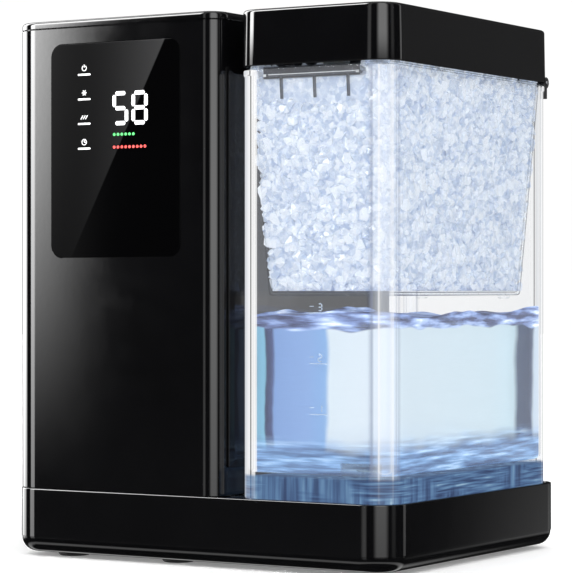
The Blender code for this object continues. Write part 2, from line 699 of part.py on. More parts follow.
def gear_train():
    """The motor's pinion and the large gear on the auger's shaft, in their housing under the barrel."""
    facing = -math.pi / 2
    large_teeth = gear_outline(COLUMN, AUGER_TEETH, facing)
    large = prism("auger_gear", "Z", large_teeth, GEAR_BOTTOM, GEAR_TOP, "white_nylon")
    bore, shaft, face_set_in = 0.0064, 0.0030, 0.0005
    bore_profile = [(GEAR_BOTTOM - OVERRUN, bore), (GEAR_TOP + OVERRUN, bore)]
    cut(large, turned("gear bore", "Z", COLUMN, bore_profile, steps=18))
    half_tooth = math.pi / PINION_TEETH
    small_teeth = gear_outline(PINION_AT, PINION_TEETH, half_tooth - facing)
    low, high = GEAR_BOTTOM + face_set_in, GEAR_TOP - face_set_in
    pinion = prism("motor_pinion", "Z", small_teeth, low, high, "steel")
    shaft_profile = [(0.0968, shaft), (GEAR_TOP + 0.0012, shaft)]
    fuse(pinion, turned("pinion shaft", "Z", PINION_AT, shaft_profile, steps=12))
    x, y = COLUMN
    half, thin, wall, opening = 0.0305, 0.0012, 0.0025, 0.0093
    outer_x, outer_y = (x - half, x + half), (y - 0.0500, y + half)
    bottom, top = 0.1013, 0.1202
    housing = box("gearbox_housing", outer_x, outer_y, (bottom, top), "grey_plastic")
    room_x, room_y = (outer_x[0] + thin, outer_x[1] - thin), (outer_y[0] + wall, outer_y[1] - thin)
    cut(housing, box("gear room", room_x, room_y, (bottom - OVERRUN, top - wall)))
    opening_profile = [(top - 0.006, opening), (top + OVERRUN, opening)]
    cut(housing, turned("shaft opening", "Z", COLUMN, opening_profile, steps=18))
    cover = box("gearbox_cover", outer_x, outer_y, (0.0980, 0.1010), "steel")
    cut(cover, turned("pinion opening", "Z", PINION_AT, [(0.096, 0.0036), (0.103, 0.0036)], steps=14))
    motor = [(0.0560, 0.0150), (0.0580, 0.0170), (0.0900, 0.0170), (0.0905, 0.0185), (0.0965, 0.0185)]
    turned("gear_motor", "Z", PINION_AT, motor, "steel", steps=20)
    return large, pinion


def auger_shape():
    """A screw flight round a core, as one height field about its axis, with plain shafts at both ends."""
    flight, core, shaft = BARREL_INNER - 0.0006, 0.0085, 0.0060
    low, high, pitch, sides, rows = 0.128, 0.312, 0.046, 18, 8
    land = 0.2  # share of the pitch that the flight's edge takes
    turns = (high - low) / pitch
    count = round(turns * rows)
    rings = [on_z(circle(COLUMN, shaft, sides), 0.1016), on_z(circle(COLUMN, shaft, sides), low - 0.001)]
    for k in range(count + 1):
        z = low + (high - low) * k / count
        ring = []
        for i in range(sides):
            angle = 2 * math.pi * i / sides
            phase = (angle / (2 * math.pi) - (z - low) / pitch) % 1.0
            ends = k in (0, count)
            radius = flight if phase < land and not ends else core
            x = COLUMN[0] + radius * math.cos(angle)
            y = COLUMN[1] + radius * math.sin(angle)
            ring.append(Vector((x, y, z)))
        rings.append(ring)
    rings.append(on_z(circle(COLUMN, shaft, sides), high + 0.001))
    rings.append(on_z(circle(COLUMN, shaft, sides), 0.3535))
    return loft("auger", rings, "steel")


def freezing_column():
    """The stainless barrel with its flange and nipples, its insulation, the bearings and the extruder head."""
    flange, flange_top = 0.029, BARREL_BOTTOM + 0.003
    section = [
        (BARREL_BOTTOM, flange), (flange_top, flange), (flange_top, BARREL_OUTER),
        (BARREL_TOP, BARREL_OUTER), (BARREL_TOP, BARREL_INNER), (BARREL_BOTTOM, BARREL_INNER),
    ]
    barrel = turned("freezing_barrel", "Z", COLUMN, section, "steel", steps=28, closed=True)
    x, y = COLUMN
    root, reach, outer, bore = 0.0218, 0.0300, 0.0040, 0.0026
    inlet = turned("water nipple", "X", (y, NIPPLE_Z), [(x + root, outer), (x + reach, outer)], steps=12)
    drain = turned("drain nipple", "X", (y, NIPPLE_Z), [(x - reach, outer), (x - root, outer)], steps=12)
    fuse(barrel, inlet, drain)
    bore_profile = [(x - reach - OVERRUN, bore), (x + reach + OVERRUN, bore)]
    cut(barrel, turned("water bore", "X", (y, NIPPLE_Z), bore_profile, steps=12))
    tube("insulation_sleeve", "Z", COLUMN, 0.0305, 0.0365, 0.1425, 0.3000, "foam", steps=28)
    tube("lower_bearing", "Z", COLUMN, SHAFT_BORE, 0.0090, 0.1150, 0.1240, "brass", steps=18)
    low, high = 0.3163, 0.3405
    head_section = [(low, SHAFT_BORE), (low, WELL_RADIUS), (high, WELL_RADIUS), (high, SHAFT_BORE)]
    head = turned("extruder_head", "Z", COLUMN, head_section, "steel", steps=28, closed=True)
    holes, ring_radius, hole_radius = 6, 0.0160, 0.0042
    for k in range(holes):
        angle = 2 * math.pi * k / holes
        at = (x + ring_radius * math.cos(angle), y + ring_radius * math.sin(angle))
        cut(head, turned("ice bore", "Z", at, [(0.3140, hole_radius), (0.3430, hole_radius)], steps=9))


def ice_way():
    """The breaker on top of the auger and the chute that takes the ice through the tower's wall."""
    x, y = COLUMN
    cone = [(0.3540, 0.0075), (0.3600, 0.0072), (0.3680, 0.0030)]
    breaker = turned("ice_breaker", "Z", COLUMN, cone, "white_nylon", steps=16)
    reach, half_blade = 0.020, 0.0022
    paddle = box("paddle", (x - reach, x + reach), (y - half_blade, y + half_blade), (0.3542, 0.3590))
    fuse(breaker, paddle)
    chute_profile = [(0.3410, WELL_RADIUS), (CHUTE_TOP, WELL_RADIUS)]
    chute = turned("ice_chute", "Z", COLUMN, chute_profile, "white_nylon", steps=28)
    end, wall, half = TANK_LEFT + 0.0014, 0.0018, CHUTE_HALF_WIDTH
    fuse(chute, box("duct", (x, end), (y - half, y + half), (CHUTE_BOTTOM, CHUTE_TOP)))
    inner, inner_half, top = WELL_RADIUS - wall, half - wall, CHUTE_TOP - wall
    well = turned("well", "Z", COLUMN, [(0.3390, inner), (top, inner)], steps=28)
    way_z = (CHUTE_BOTTOM + wall, top)
    way = box("way", (x, end + 2 * OVERRUN), (y - inner_half, y + inner_half), way_z)
    cut(chute, well, way)
    sensor_x = (TOWER_RIGHT + 0.0005, TOWER_RIGHT + 0.0120)
    sensor_y = (y + half + 0.002, y + half + 0.014)
    sensor = box("ice_full_sensor", sensor_x, sensor_y, (0.3555, 0.3675), "matte_black")
    slot_x = (TOWER_RIGHT + 0.004, TOWER_RIGHT + 0.014)
    slot_y = (y + half + 0.0065, y + half + 0.0095)
    cut(sensor, box("sensor slot", slot_x, slot_y, (0.352, 0.371)))
    return breaker


# ---------------------------------------------------------------- water circuit


def pump_group():
    """The water pump under the column: a housing over its impeller, with the motor can on top."""
    low, step_z, eye = DECK_TOP + GAP + 0.002, 0.0730, 0.0050
    section = [
        (low, eye), (low, 0.0150), (step_z, 0.0150), (step_z, 0.0130), (0.0960, 0.0130), (0.0970, 0.0110),
    ]
    room_top, room_radius, room_bottom = 0.0700, 0.0120, low + 0.0025
    inner = [(room_top, 0.0020), (room_top, room_radius), (room_bottom, room_radius), (room_bottom, eye)]
    rings = [on_z(circle(PUMP_AT, radius, 20), z) for z, radius in reversed(section)]
    rings += [on_z(circle(PUMP_AT, radius, 20), z) for z, radius in reversed(inner)]
    housing = loft("water_pump", rings, "matte_black")
    x, y = PUMP_AT
    outer, bore = 0.0040, 0.0026
    at = (x, PUMP_OUTLET_Z)
    fuse(housing, turned("pump outlet", "Y", at, [(y - 0.0240, outer), (y - 0.0132, outer)], steps=12))
    cut(housing, turned("outlet bore", "Y", at, [(y - 0.0260, bore), (y - 0.0080, bore)], steps=12))
    hub_low, hub_high, vane, half = 0.0560, 0.0680, 0.0100, 0.0009
    hub_profile = [(hub_low, 0.0040), (hub_high, 0.0040)]
    hub = turned("pump_impeller", "Z", PUMP_AT, hub_profile, "white_nylon", steps=12)
    fuse(hub, box("vane", (x - vane, x + vane), (y - half, y + half), (0.0570, 0.0655)))
    fuse(hub, box("cross vane", (x - half, x + half), (y - vane, y + vane), (0.0572, 0.0653)))
    pivot("pump_axis", (x, y, hub_low), hub)


def hoses():
    """Silicone hoses: tank to pump through the base, pump to barrel, and barrel to the drain port."""
    ox, oy = OUTLET_AT
    px, py = PUMP_AT
    x, y = COLUMN
    port_x, port_z = DRAIN_AT
    suction = [
        (ox, oy, 0.0570), (ox, oy, 0.0500), (ox, oy, 0.0420), (ox - 0.006, oy + 0.012, 0.0260),
        (0.070, -0.020, 0.0220), (0.025, 0.040, 0.0220), (0.002, 0.072, 0.0260),
        (px, py, 0.0420), (px, py, 0.0505),
    ]
    supply = [
        (px, py - 0.0244, PUMP_OUTLET_Z), (px, py - 0.0290, PUMP_OUTLET_Z), (px + 0.0010, py - 0.0350, 0.066),
        (0.0050, 0.036, 0.082), (0.0125, 0.024, 0.104), (0.0140, y + 0.006, 0.122),
        (0.0110, y, NIPPLE_Z - 0.0005), (0.0060, y, NIPPLE_Z), (x + 0.0303, y, NIPPLE_Z),
    ]
    drain = [
        (x - 0.0304, y, NIPPLE_Z), (x - 0.0335, y, NIPPLE_Z), (x - 0.0370, y, NIPPLE_Z - 0.0006),
        (-0.0712, 0.004, 0.1240), (-0.0700, 0.001, 0.104), (-0.0620, 0.010, 0.082), (-0.0450, 0.035, 0.074),
        (-0.0440, 0.066, 0.070), (-0.0560, 0.094, port_z), (port_x, 0.1050, port_z), (port_x, 0.1090, port_z),
        (port_x, 0.1123, port_z),
    ]
    hose("suction_hose", suction, 0.0045)
    hose("supply_hose", supply, 0.0036)
    hose("drain_hose", drain, 0.0034)


def hose(name, knots, radius):
    swept(name, smooth_path(knots, 3), radius, "silicone", sides=7)


def drain_outlet():
    """The drain port through the rear cover and the rubber cap pressed over it."""
    bore, spigot, stem, flange = 0.0030, 0.0050, 0.0060, 0.0085
    near, seat, face, end = 0.1128, 0.1215, 0.1230, 0.1280
    port = [
        (near, bore), (near, stem), (seat, stem), (seat, flange), (face, flange), (face, spigot),
        (end, spigot), (end, bore),
    ]
    turned("drain_port", "Y", DRAIN_AT, port, "matte_black", steps=16, closed=True)
    plug_start, plug, skirt_inner, skirt_start, crown = 0.1270, 0.0026, 0.0056, 0.1235, 0.1284
    cap = [
        (plug_start, 0.0020), (plug_start, plug), (crown, plug), (crown, skirt_inner),
        (skirt_start, skirt_inner), (skirt_start, 0.0078), (0.1300, 0.0074), (0.1306, 0.0040),
    ]
    drain_cap = turned("drain_cap", "Y", DRAIN_AT, cap, "rubber", steps=16)
    pivot("drain_cap_slide", (DRAIN_AT[0], plug_start, DRAIN_AT[1]), drain_cap)


# ---------------------------------------------------------------- tank


def tank():
    """A clear open-topped tank on its own skirt, with a rolled rim and the outlet hole in its floor."""
    wall = 0.003
    box_of = (TANK_LEFT, TANK_RIGHT, TANK_FRONT, TANK_REAR, TANK_RADII)
    rim, foot = 0.0008, BASE_TOP + GAP
    floor_under = TANK_FLOOR - wall
    rings = [
        on_z(inset_rect(*box_of, wall + 0.0005), floor_under),
        on_z(inset_rect(*box_of, wall), foot),
        on_z(inset_rect(*box_of, rim + 0.0004), foot),
        on_z(inset_rect(*box_of, rim), foot + 0.0006),
        on_z(inset_rect(*box_of, rim), TANK_TOP - 0.0040),
        on_z(inset_rect(*box_of, 0.0), TANK_TOP - 0.0034),
        on_z(inset_rect(*box_of, 0.0), TANK_TOP - 0.0004),
        on_z(inset_rect(*box_of, 0.0004), TANK_TOP),
        on_z(inset_rect(*box_of, wall), TANK_TOP),
        on_z(inset_rect(*box_of, wall), TANK_FLOOR + 0.004),
        on_z(inset_rect(*box_of, wall + 0.0012), TANK_FLOOR + 0.0012),
        on_z(inset_rect(*box_of, wall + 0.004), TANK_FLOOR),
    ]
    shell = loft("water_tank", rings, "clear_plastic")
    hole_radius = 0.0062
    hole_profile = [(floor_under - OVERRUN, hole_radius), (TANK_FLOOR + OVERRUN, hole_radius)]
    cut(shell, turned("outlet hole", "Z", OUTLET_AT, hole_profile, steps=16))


def tank_fittings():
    """The outlet seal in the tank's floor and the slotted filter block over it."""
    bore, stem, flange = 0.0030, 0.0052, 0.0085
    low, under, over = 0.0575, TANK_FLOOR + GAP, TANK_FLOOR + 0.0018
    seal = [(low, bore), (low, stem), (under, stem), (under, flange), (over, flange), (over, bore)]
    turned("tank_outlet_seal", "Z", OUTLET_AT, seal, "rubber", steps=16, closed=True)
    x, y = OUTLET_AT
    half = 0.0145
    low, high = TANK_FLOOR + 0.0022, 0.0835
    outline = (x - half, x + half, y - half, y + half, [0.004] * 4)
    wall, chamfer = 0.0018, 0.0015
    rings = [
        on_z(inset_rect(*outline, wall, 3), high - wall),
        on_z(inset_rect(*outline, wall, 3), low),
        on_z(inset_rect(*outline, 0.0, 3), low),
        on_z(inset_rect(*outline, 0.0, 3), high - chamfer),
        on_z(inset_rect(*outline, chamfer, 3), high),
    ]
    block = loft("tank_filter", rings, "grey_plastic")
    through, slot_z = (y - half - OVERRUN, y + half + OVERRUN), (low + 0.003, high - 0.005)
    count, pitch, half_slot = 5, 0.0045, 0.0009
    slots = []
    for k in range(count):
        at = x + pitch * (k - (count - 1) / 2)
        slots.append(((at - half_slot, at + half_slot), through, slot_z))
    cut(block, boxes("filter slots", slots))


# ---------------------------------------------------------------- basket


def basket_rect(share, inset):
    """The basket's outline at a share of its height, 0 at the floor and 1 at the rim."""
    sides = [low + (high - low) * share for low, high in zip(BASKET_LOW, BASKET_HIGH)]
    return inset_rect(*sides, [BASKET_RADIUS] * 4, inset, 5)


def ice_basket():
    """A clear tapered basket that hangs by its rim in the tank, with drain slots and nibs under its floor."""
    height = BASKET_RIM - BASKET_FLOOR

    def at(z, inset):
        return on_z(basket_rect((z - BASKET_FLOOR) / height, inset), z)

    rings = [
        at(BASKET_FLOOR, 0.0010),
        at(BASKET_FLOOR + 0.0010, 0.0),
        at(BASKET_RIM, 0.0),
        at(BASKET_RIM, -BASKET_FLANGE),
        at(BASKET_TOP, -BASKET_FLANGE),
        at(BASKET_TOP, BASKET_WALL),
        at(BASKET_FLOOR + 0.0030, BASKET_WALL),
        at(BASKET_FLOOR + 0.0020, BASKET_WALL + 0.0010),
    ]
    basket = loft("ice_basket", rings, "clear_plastic")
    rows, columns, half_length, half_slot = 5, 3, 0.010, 0.0016
    slot_z = (BASKET_FLOOR - 0.003, BASKET_FLOOR + 0.006)
    x0, x1, y0, y1 = BASKET_LOW
    slots = []
    for i in range(rows):
        for j in range(columns):
            x = x0 + (x1 - x0) * (j + 0.5) / columns
            y = y0 + (y1 - y0) * (i + 0.5) / rows
            slots.append(((x - half_length, x + half_length), (y - half_slot, y + half_slot), slot_z))
    cut(basket, boxes("drain slots", slots))
    from_side, half_nib = 0.012, 0.0035
    nib_z = (BASKET_FLOOR - 0.0025, BASKET_FLOOR + 0.001)
    for x in (x0 + from_side, x1 - from_side):
        for y in (y0 + from_side, y1 - from_side):
            nib = box("nib", (x - half_nib, x + half_nib), (y - half_nib, y + half_nib), nib_z)
            fuse(basket, nib)
    return basket


def basket_grip():
    """The finger ledge inside the basket's front wall, with an apron and three gussets under it."""
    x = (0.0545, 0.1300)
    front = BASKET_HIGH[2] + BASKET_WALL + 0.0008
    shelf, shelf_top, reach, apron = 0.3385, 0.3403, 0.0120, 0.0018
    grip = box("basket_grip", x, (front, front + reach), (shelf, shelf_top), "smoke_plastic")
    fuse(grip, box("apron", x, (front, front + apron), (shelf - 0.0012, 0.3454)))
    depth, drop, half_gusset = 0.0095, 0.0150, 0.0010
    outline = [
        (front + 0.0016, shelf + 0.0008), (front + depth, shelf + 0.0008), (front + depth, shelf - 0.004),
        (front + 0.0040, shelf - drop), (front + 0.0030, shelf - drop),
    ]
    for share in (0.17, 0.52, 0.87):
        at = x[0] + (x[1] - x[0]) * share
        fuse(grip, prism("gusset", "X", outline, at - half_gusset, at + half_gusset))
    return grip


# ---------------------------------------------------------------- lid


def lid():
    """A hollow cap with a little draft, a rounded upper edge, a notch for the chute and two hinge knuckles."""
    wall, draft, edge = 0.0018, 0.0006, 0.0016
    box_of = (TANK_LEFT - 0.0002, RIGHT - 0.0002, FRONT + 0.0002, BODY_REAR, TANK_RADII)
    rings = [
        on_z(inset_rect(*box_of, wall + draft), LID_TOP - wall),
        on_z(inset_rect(*box_of, wall), LID_BOTTOM),
        on_z(inset_rect(*box_of, 0.0004), LID_BOTTOM),
        on_z(inset_rect(*box_of, 0.0), LID_BOTTOM + 0.0004),
    ]
    for angle in (0, 30, 60, 90):
        turn = math.radians(angle)
        inset = draft + edge * (1 - math.cos(turn))
        rings.append(on_z(inset_rect(*box_of, inset), LID_TOP - edge + edge * math.sin(turn)))
    cap = loft("lid", rings, "gloss_black")
    half_notch = CHUTE_HALF_WIDTH + 0.0035
    notch_x = (TANK_LEFT - 0.004, TANK_LEFT + 0.006)
    notch_y = (COLUMN[1] - half_notch, COLUMN[1] + half_notch)
    cut(cap, box("chute notch", notch_x, notch_y, (LID_BOTTOM - OVERRUN, CHUTE_TOP + 0.0030)))
    web_y = (BODY_REAR - 0.0010, HINGE_Y - 0.0005)
    web_z = (HINGE_Z + 0.0004, HINGE_Z + HINGE_RADIUS)
    for name, x in (("left arm", LEFT_ARM_X), ("right arm", RIGHT_ARM_X)):
        fuse(cap, knuckle(name, x), box(name + " web", x, web_y, web_z))
    bore = PIN_RADIUS + 0.0002
    bore_profile = [(LEFT_ARM_X[0] - OVERRUN, bore), (RIGHT_ARM_X[1] + OVERRUN, bore)]
    cut(cap, turned("lid bore", "X", (HINGE_Y, HINGE_Z), bore_profile, steps=12))
    return cap


def knuckle(name, x):
    return turned(name, "X", (HINGE_Y, HINGE_Z), [(x[0], HINGE_RADIUS), (x[1], HINGE_RADIUS)], steps=20)


def hinge():
    """The bracket behind the tank with its three knuckles, and the pin through all five."""
    foot_z, top_z = 0.3050, HINGE_Z - HINGE_RADIUS + 0.0008
    y = (TANK_REAR + GAP, TANK_REAR + 0.0028)
    bracket = box("hinge_bracket", (HINGE_LEFT, HINGE_RIGHT - 0.010), y, (foot_z, 0.3385), "matte_black")
    knuckles = {
        "left": (HINGE_LEFT, LEFT_ARM_X[0] - GAP),
        "middle": (LEFT_ARM_X[1] + GAP, RIGHT_ARM_X[0] - GAP),
        "right": (RIGHT_ARM_X[1] + GAP, HINGE_RIGHT),
    }
    for name, x in knuckles.items():
        reach = box(name + " reach", x, (y[0] + 0.0004, HINGE_Y + 0.0010), (0.3355, top_z))
        fuse(bracket, reach, knuckle(name + " knuckle", x))
    at, bore, pin, past = (HINGE_Y, HINGE_Z), PIN_RADIUS + 0.0003, PIN_RADIUS - 0.0002, 0.0008
    bore_profile = [(HINGE_LEFT - OVERRUN, bore), (HINGE_RIGHT + OVERRUN, bore)]
    cut(bracket, turned("pin bore", "X", at, bore_profile, steps=12))
    turned("hinge_pin", "X", at, [(HINGE_LEFT - past, pin), (HINGE_RIGHT + past, pin)], "steel", steps=12)


def build():
    clear_scene()
    base_pan()
    feet()
    decks()
    tower_shell()
    tower_cap()
    rear_panel()
    side_grille()
    dock_plate()
    control_panel()
    power_parts()
    compressor_group()
    condenser()
    fan_group()
    pipework()
    large_gear, pinion = gear_train()
    auger = auger_shape()
    freezing_column()
    breaker = ice_way()
    pivot("auger_axis", (*COLUMN, GEAR_BOTTOM), auger, large_gear, breaker)
    pivot("pinion_axis", (*PINION_AT, GEAR_BOTTOM), pinion)
    pump_group()
    hoses()
    drain_outlet()
    tank()
    tank_fittings()
    pivot("basket_slide", (0.0, 0.0, BASKET_TOP), ice_basket(), basket_grip())
    hinge()
    pivot("lid_hinge_axis", (0.0, HINGE_Y, HINGE_Z), lid())


build()
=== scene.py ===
"""The looks of the countertop ice maker: fine shells, clear tank, water, ice and display, round the frame.
Metres, +Z up, front towards -Y, in the frame's own coordinates."""
import json
import math
import random

import bmesh
import bpy
import numpy as np
from mathutils import Matrix, Vector, noise

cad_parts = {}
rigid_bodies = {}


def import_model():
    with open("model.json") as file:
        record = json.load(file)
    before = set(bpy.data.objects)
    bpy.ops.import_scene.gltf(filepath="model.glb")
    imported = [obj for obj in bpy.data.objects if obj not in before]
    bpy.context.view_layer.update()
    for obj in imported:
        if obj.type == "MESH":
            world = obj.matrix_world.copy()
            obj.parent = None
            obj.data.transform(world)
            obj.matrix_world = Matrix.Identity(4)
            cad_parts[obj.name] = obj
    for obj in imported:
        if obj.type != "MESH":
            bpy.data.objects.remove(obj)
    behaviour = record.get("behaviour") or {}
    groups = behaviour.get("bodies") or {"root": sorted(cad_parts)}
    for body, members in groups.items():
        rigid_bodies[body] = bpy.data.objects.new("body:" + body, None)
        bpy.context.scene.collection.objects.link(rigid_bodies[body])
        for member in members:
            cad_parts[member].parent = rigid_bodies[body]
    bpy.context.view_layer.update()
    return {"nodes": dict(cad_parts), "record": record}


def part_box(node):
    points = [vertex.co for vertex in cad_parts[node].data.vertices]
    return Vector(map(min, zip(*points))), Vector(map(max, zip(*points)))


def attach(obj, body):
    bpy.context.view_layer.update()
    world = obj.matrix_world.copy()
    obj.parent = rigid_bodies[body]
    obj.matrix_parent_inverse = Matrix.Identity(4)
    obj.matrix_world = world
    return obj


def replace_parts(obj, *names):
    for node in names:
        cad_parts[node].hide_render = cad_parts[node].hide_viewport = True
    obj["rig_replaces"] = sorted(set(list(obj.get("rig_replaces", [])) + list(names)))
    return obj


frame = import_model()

RECORD = frame["record"]
SLOT_OF = {row["node"]: row["material_slot"] for row in RECORD["subparts"]}
BODY_OF = {node: body for body, nodes in RECORD["behaviour"]["bodies"].items() for node in nodes}
SCENE = bpy.context.scene

# Camera
CAMERA_AT = (0.99205, -1.62246, 0.19399)
CAMERA_TURN = (90.029, 0.0, 31.499)
CAMERA_LENS = 161.83

# Places read from the frame
BASE_LOW, BASE_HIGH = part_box("base_pan")
SHELL_LOW, SHELL_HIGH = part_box("tower_shell")
CAP_LOW, CAP_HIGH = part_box("tower_cap")
GLASS_LOW, GLASS_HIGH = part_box("control_glass")
TANK_LOW, TANK_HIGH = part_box("water_tank")
BASKET_LOW, BASKET_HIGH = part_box("ice_basket")
GRIP_LOW, GRIP_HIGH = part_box("basket_grip")
LID_LOW, LID_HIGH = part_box("lid")
DOCK_LOW, DOCK_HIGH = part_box("dock_plate")
CHUTE_LOW, CHUTE_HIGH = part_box("ice_chute")
PIN_LOW, PIN_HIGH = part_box("hinge_pin")

# Corner radii, front left, front right, rear right and rear left
BASE_RADII = (0.022, 0.0225, 0.020, 0.016)
TOWER_RADII = (0.022, 0.0131, 0.008, 0.012)
TANK_RADII = (0.0163, 0.0178, 0.0163, 0.010)
CORNER_STEPS = 14
HOLD = 0.0008  # how far past an arc a flat wall is pinned flat
BROAD_AREA = 0.0009  # square metres, above which a cut face gets its own normal

WALL = 0.003
TANK_FLOOR = 0.067
WATER_LEVEL = 0.1745
ICE_TOP = 0.3490
# Heights of painted light in the water: a painted dark ripple band and painted streaks of light
PAINTED_RIPPLE_BAND = 0.1705  # where the dark rippled band under the surface begins, before its waves
PAINTED_FLOOR_STREAKS = 0.0865  # where the streaks of light over the floor fade out, before their waves
BASKET_FLOOR = 0.1885
HINGE_AT = ((PIN_LOW.y + PIN_HIGH.y) / 2, (PIN_LOW.z + PIN_HIGH.z) / 2)


# ---------------- mesh helpers


def finish_mesh(name, maker, material, smooth_angle=40.0, weighted=True):
    """An object from a bmesh, with normals facing out, smooth round stretches and flat faces left flat."""
    bmesh.ops.recalc_face_normals(maker, faces=maker.faces)
    mesh = bpy.data.meshes.new(name)
    maker.to_mesh(mesh)
    maker.free()
    mesh.shade_smooth()
    mesh.set_sharp_from_angle(angle=math.radians(smooth_angle))
    piece = bpy.data.objects.new(name, mesh)
    SCENE.collection.objects.link(piece)
    mesh.materials.append(material)
    if weighted:
        modifier = piece.modifiers.new("even normals", "WEIGHTED_NORMAL")
        modifier.keep_sharp = True
    return piece


def settle(piece, body, slot, *nodes):
    """Rides a piece on its body and hides the CAD nodes that it stands for; its slot is not used."""
    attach(piece, body)
    if nodes:
        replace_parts(piece, *nodes)
    return piece


def rounded_rect(x0, x1, y0, y1, radii, steps=CORNER_STEPS, hold=0.0):
    """An outline, counter-clockwise. Where hold is given, a point that far beyond each end of an arc keeps
    the flat stretches flat in their shading."""
    corners = [(x0, y0, 1, 1, 180), (x1, y0, -1, 1, 270), (x1, y1, -1, -1, 0), (x0, y1, 1, -1, 90)]
    points = []
    for (x, y, sx, sy, start), radius in zip(corners, radii):
        arc = []
        for k in range(steps + 1):
            angle = math.radians(start + 90 * k / steps)
            arc.append((x + radius * (sx + math.cos(angle)), y + radius * (sy + math.sin(angle))))
        if hold:
            turn = math.radians(start)
            into = (-math.sin(turn), math.cos(turn))
            arc.insert(0, (arc[0][0] - hold * into[0], arc[0][1] - hold * into[1]))
            arc.append((arc[-1][0] - hold * into[1], arc[-1][1] + hold * into[0]))
        points += arc
    return points


def inset_rect(x0, x1, y0, y1, radii, inset, steps=CORNER_STEPS, hold=HOLD):
    smaller = [max(radius - inset, 0.0006) for radius in radii]
    return rounded_rect(x0 + inset, x1 - inset, y0 + inset, y1 - inset, smaller, steps, hold)


def on_z(outline, z):
    return [(a, b, z) for a, b in outline]


def on_y(outline, y):
    return [(a, y, b) for a, b in outline]


def on_x(outline, x):
    return [(x, a, b) for a, b in outline]


def stacked(box_of, *levels, plane=on_z):
    """Rings of an outline, one for each level, which is an inset and a place along the third axis."""
    return [plane(inset_rect(*box_of, inset), place) for inset, place in levels]


def rolled(box_of, edge, top, steps=8, start=0.0, plane=on_z):
    """Rings that roll an outline over an edge, from its side to top. A negative edge rolls the other way."""
    turns = [math.pi / 2 * k / steps for k in range(steps + 1)]
    levels = [(start + abs(edge) * (1 - math.cos(turn)), top - edge * (1 - math.sin(turn))) for turn in turns]
    return stacked(box_of, *levels, plane=plane)


def loft_into(maker, rings, closed=False):
    """Skins rings of equally many points, capping the ends unless they join each other."""
    rows = [[maker.verts.new(point) for point in ring] for ring in rings]
    count = len(rows[0])
    pairs = list(zip(rows, rows[1:]))
    if closed:
        pairs.append((rows[-1], rows[0]))
    for low, high in pairs:
        for i in range(count):
            j = (i + 1) % count
            maker.faces.new((low[i], low[j], high[j], high[i]))
    if not closed:
        maker.faces.new(list(reversed(rows[0])))
        maker.faces.new(rows[-1])
    return rows


def loft(name, rings, material, closed=False, smooth_angle=40.0):
    maker = bmesh.new()
    loft_into(maker, rings, closed)
    return finish_mesh(name, maker, material, smooth_angle)


def circle(centre, radius, steps=32):
    angles = [2 * math.pi * k / steps for k in range(steps)]
    return [(centre[0] + radius * math.cos(a), centre[1] + radius * math.sin(a)) for a in angles]


def cutter(name, rings):
    piece = loft(name, rings, bpy.data.materials[0])
    piece.hide_render = True
    piece.display_type = "WIRE"
    return piece


def flatten_broad(mesh):
    """Gives every broad flat face its own normal at all its corners, so that a cut leaves no shading."""
    normals = [Vector(corner.vector) for corner in mesh.corner_normals]
    for face in mesh.polygons:
        if face.area > BROAD_AREA:
            for loop in face.loop_indices:
                normals[loop] = face.normal.copy()
    mesh.normals_split_custom_set(normals)


def cut(piece, *tools):
    """Cuts with Booleans and bakes the result into the mesh, then drops the tools."""
    normals = piece.modifiers.get("even normals")
    if normals:
        piece.modifiers.remove(normals)
    for tool in tools:
        modifier = piece.modifiers.new("cut", "BOOLEAN")
        modifier.operation = "DIFFERENCE"
        modifier.solver = "EXACT"
        modifier.object = tool
    depsgraph = bpy.context.evaluated_depsgraph_get()
    mesh = bpy.data.meshes.new_from_object(piece.evaluated_get(depsgraph))
    piece.modifiers.clear()
    piece.data = mesh
    mesh.shade_smooth()
    mesh.set_sharp_from_angle(angle=math.radians(40))
    flatten_broad(mesh)
    for tool in tools:
        bpy.data.objects.remove(tool, do_unlink=True)
    return piece


def box_into(maker, x, y, z):
    loft_into(maker, [on_z([(x[0], y[0]), (x[1], y[0]), (x[1], y[1]), (x[0], y[1])], h) for h in z])


# ---------------- material helpers


def tree_of(name):
    made = bpy.data.materials.new(name)
    made.use_nodes = True
    return made, made.node_tree, made.node_tree.nodes["Principled BSDF"]


def add_node(tree, kind, **settings):
    node = tree.nodes.new(kind)
    for key, value in settings.items():
        if hasattr(node, key):
            setattr(node, key, value)
        else:
            node.inputs[key.replace("_", " ").title()].default_value = value
    return node


def coordinates(tree, stretch=(1, 1, 1)):
    place = tree.nodes.new("ShaderNodeTexCoord")
    mapping = tree.nodes.new("ShaderNodeMapping")
    mapping.inputs["Scale"].default_value = stretch
    tree.links.new(place.outputs["Object"], mapping.inputs["Vector"])
    return mapping.outputs["Vector"]


def noise_value(tree, vector, scale, detail=3.0):
    texture = add_node(tree, "ShaderNodeTexNoise", Scale=scale, Detail=detail)
    tree.links.new(vector, texture.inputs["Vector"])
    return texture.outputs["Fac"]


def ranged(tree, value, low, high, start=0.3, end=0.7):
    node = tree.nodes.new("ShaderNodeMapRange")
    for key, number in (("From Min", start), ("From Max", end), ("To Min", low), ("To Max", high)):
        node.inputs[key].default_value = number
    tree.links.new(value, node.inputs["Value"])
    return node.outputs["Result"]


def ramp_of(tree, value, stops):
    """A colour ramp from (position, colour) stops. A plain number stands for a grey."""
    ramp = tree.nodes.new("ShaderNodeValToRGB")
    elements = ramp.color_ramp.elements
    elements[1].position = stops[-1][0]
    elements[0].position = stops[0][0]
    for position, _ in stops[1:-1]:
        elements.new(position)
    for element, (_, color) in zip(elements, stops):
        element.color = (*color, 1) if isinstance(color, tuple) else (color, color, color, 1)
    tree.links.new(value, ramp.inputs["Fac"])
    return ramp.outputs["Color"]


def mixed(tree, value, first, second):
    return ramp_of(tree, value, ((0.3, first), (0.7, second)))


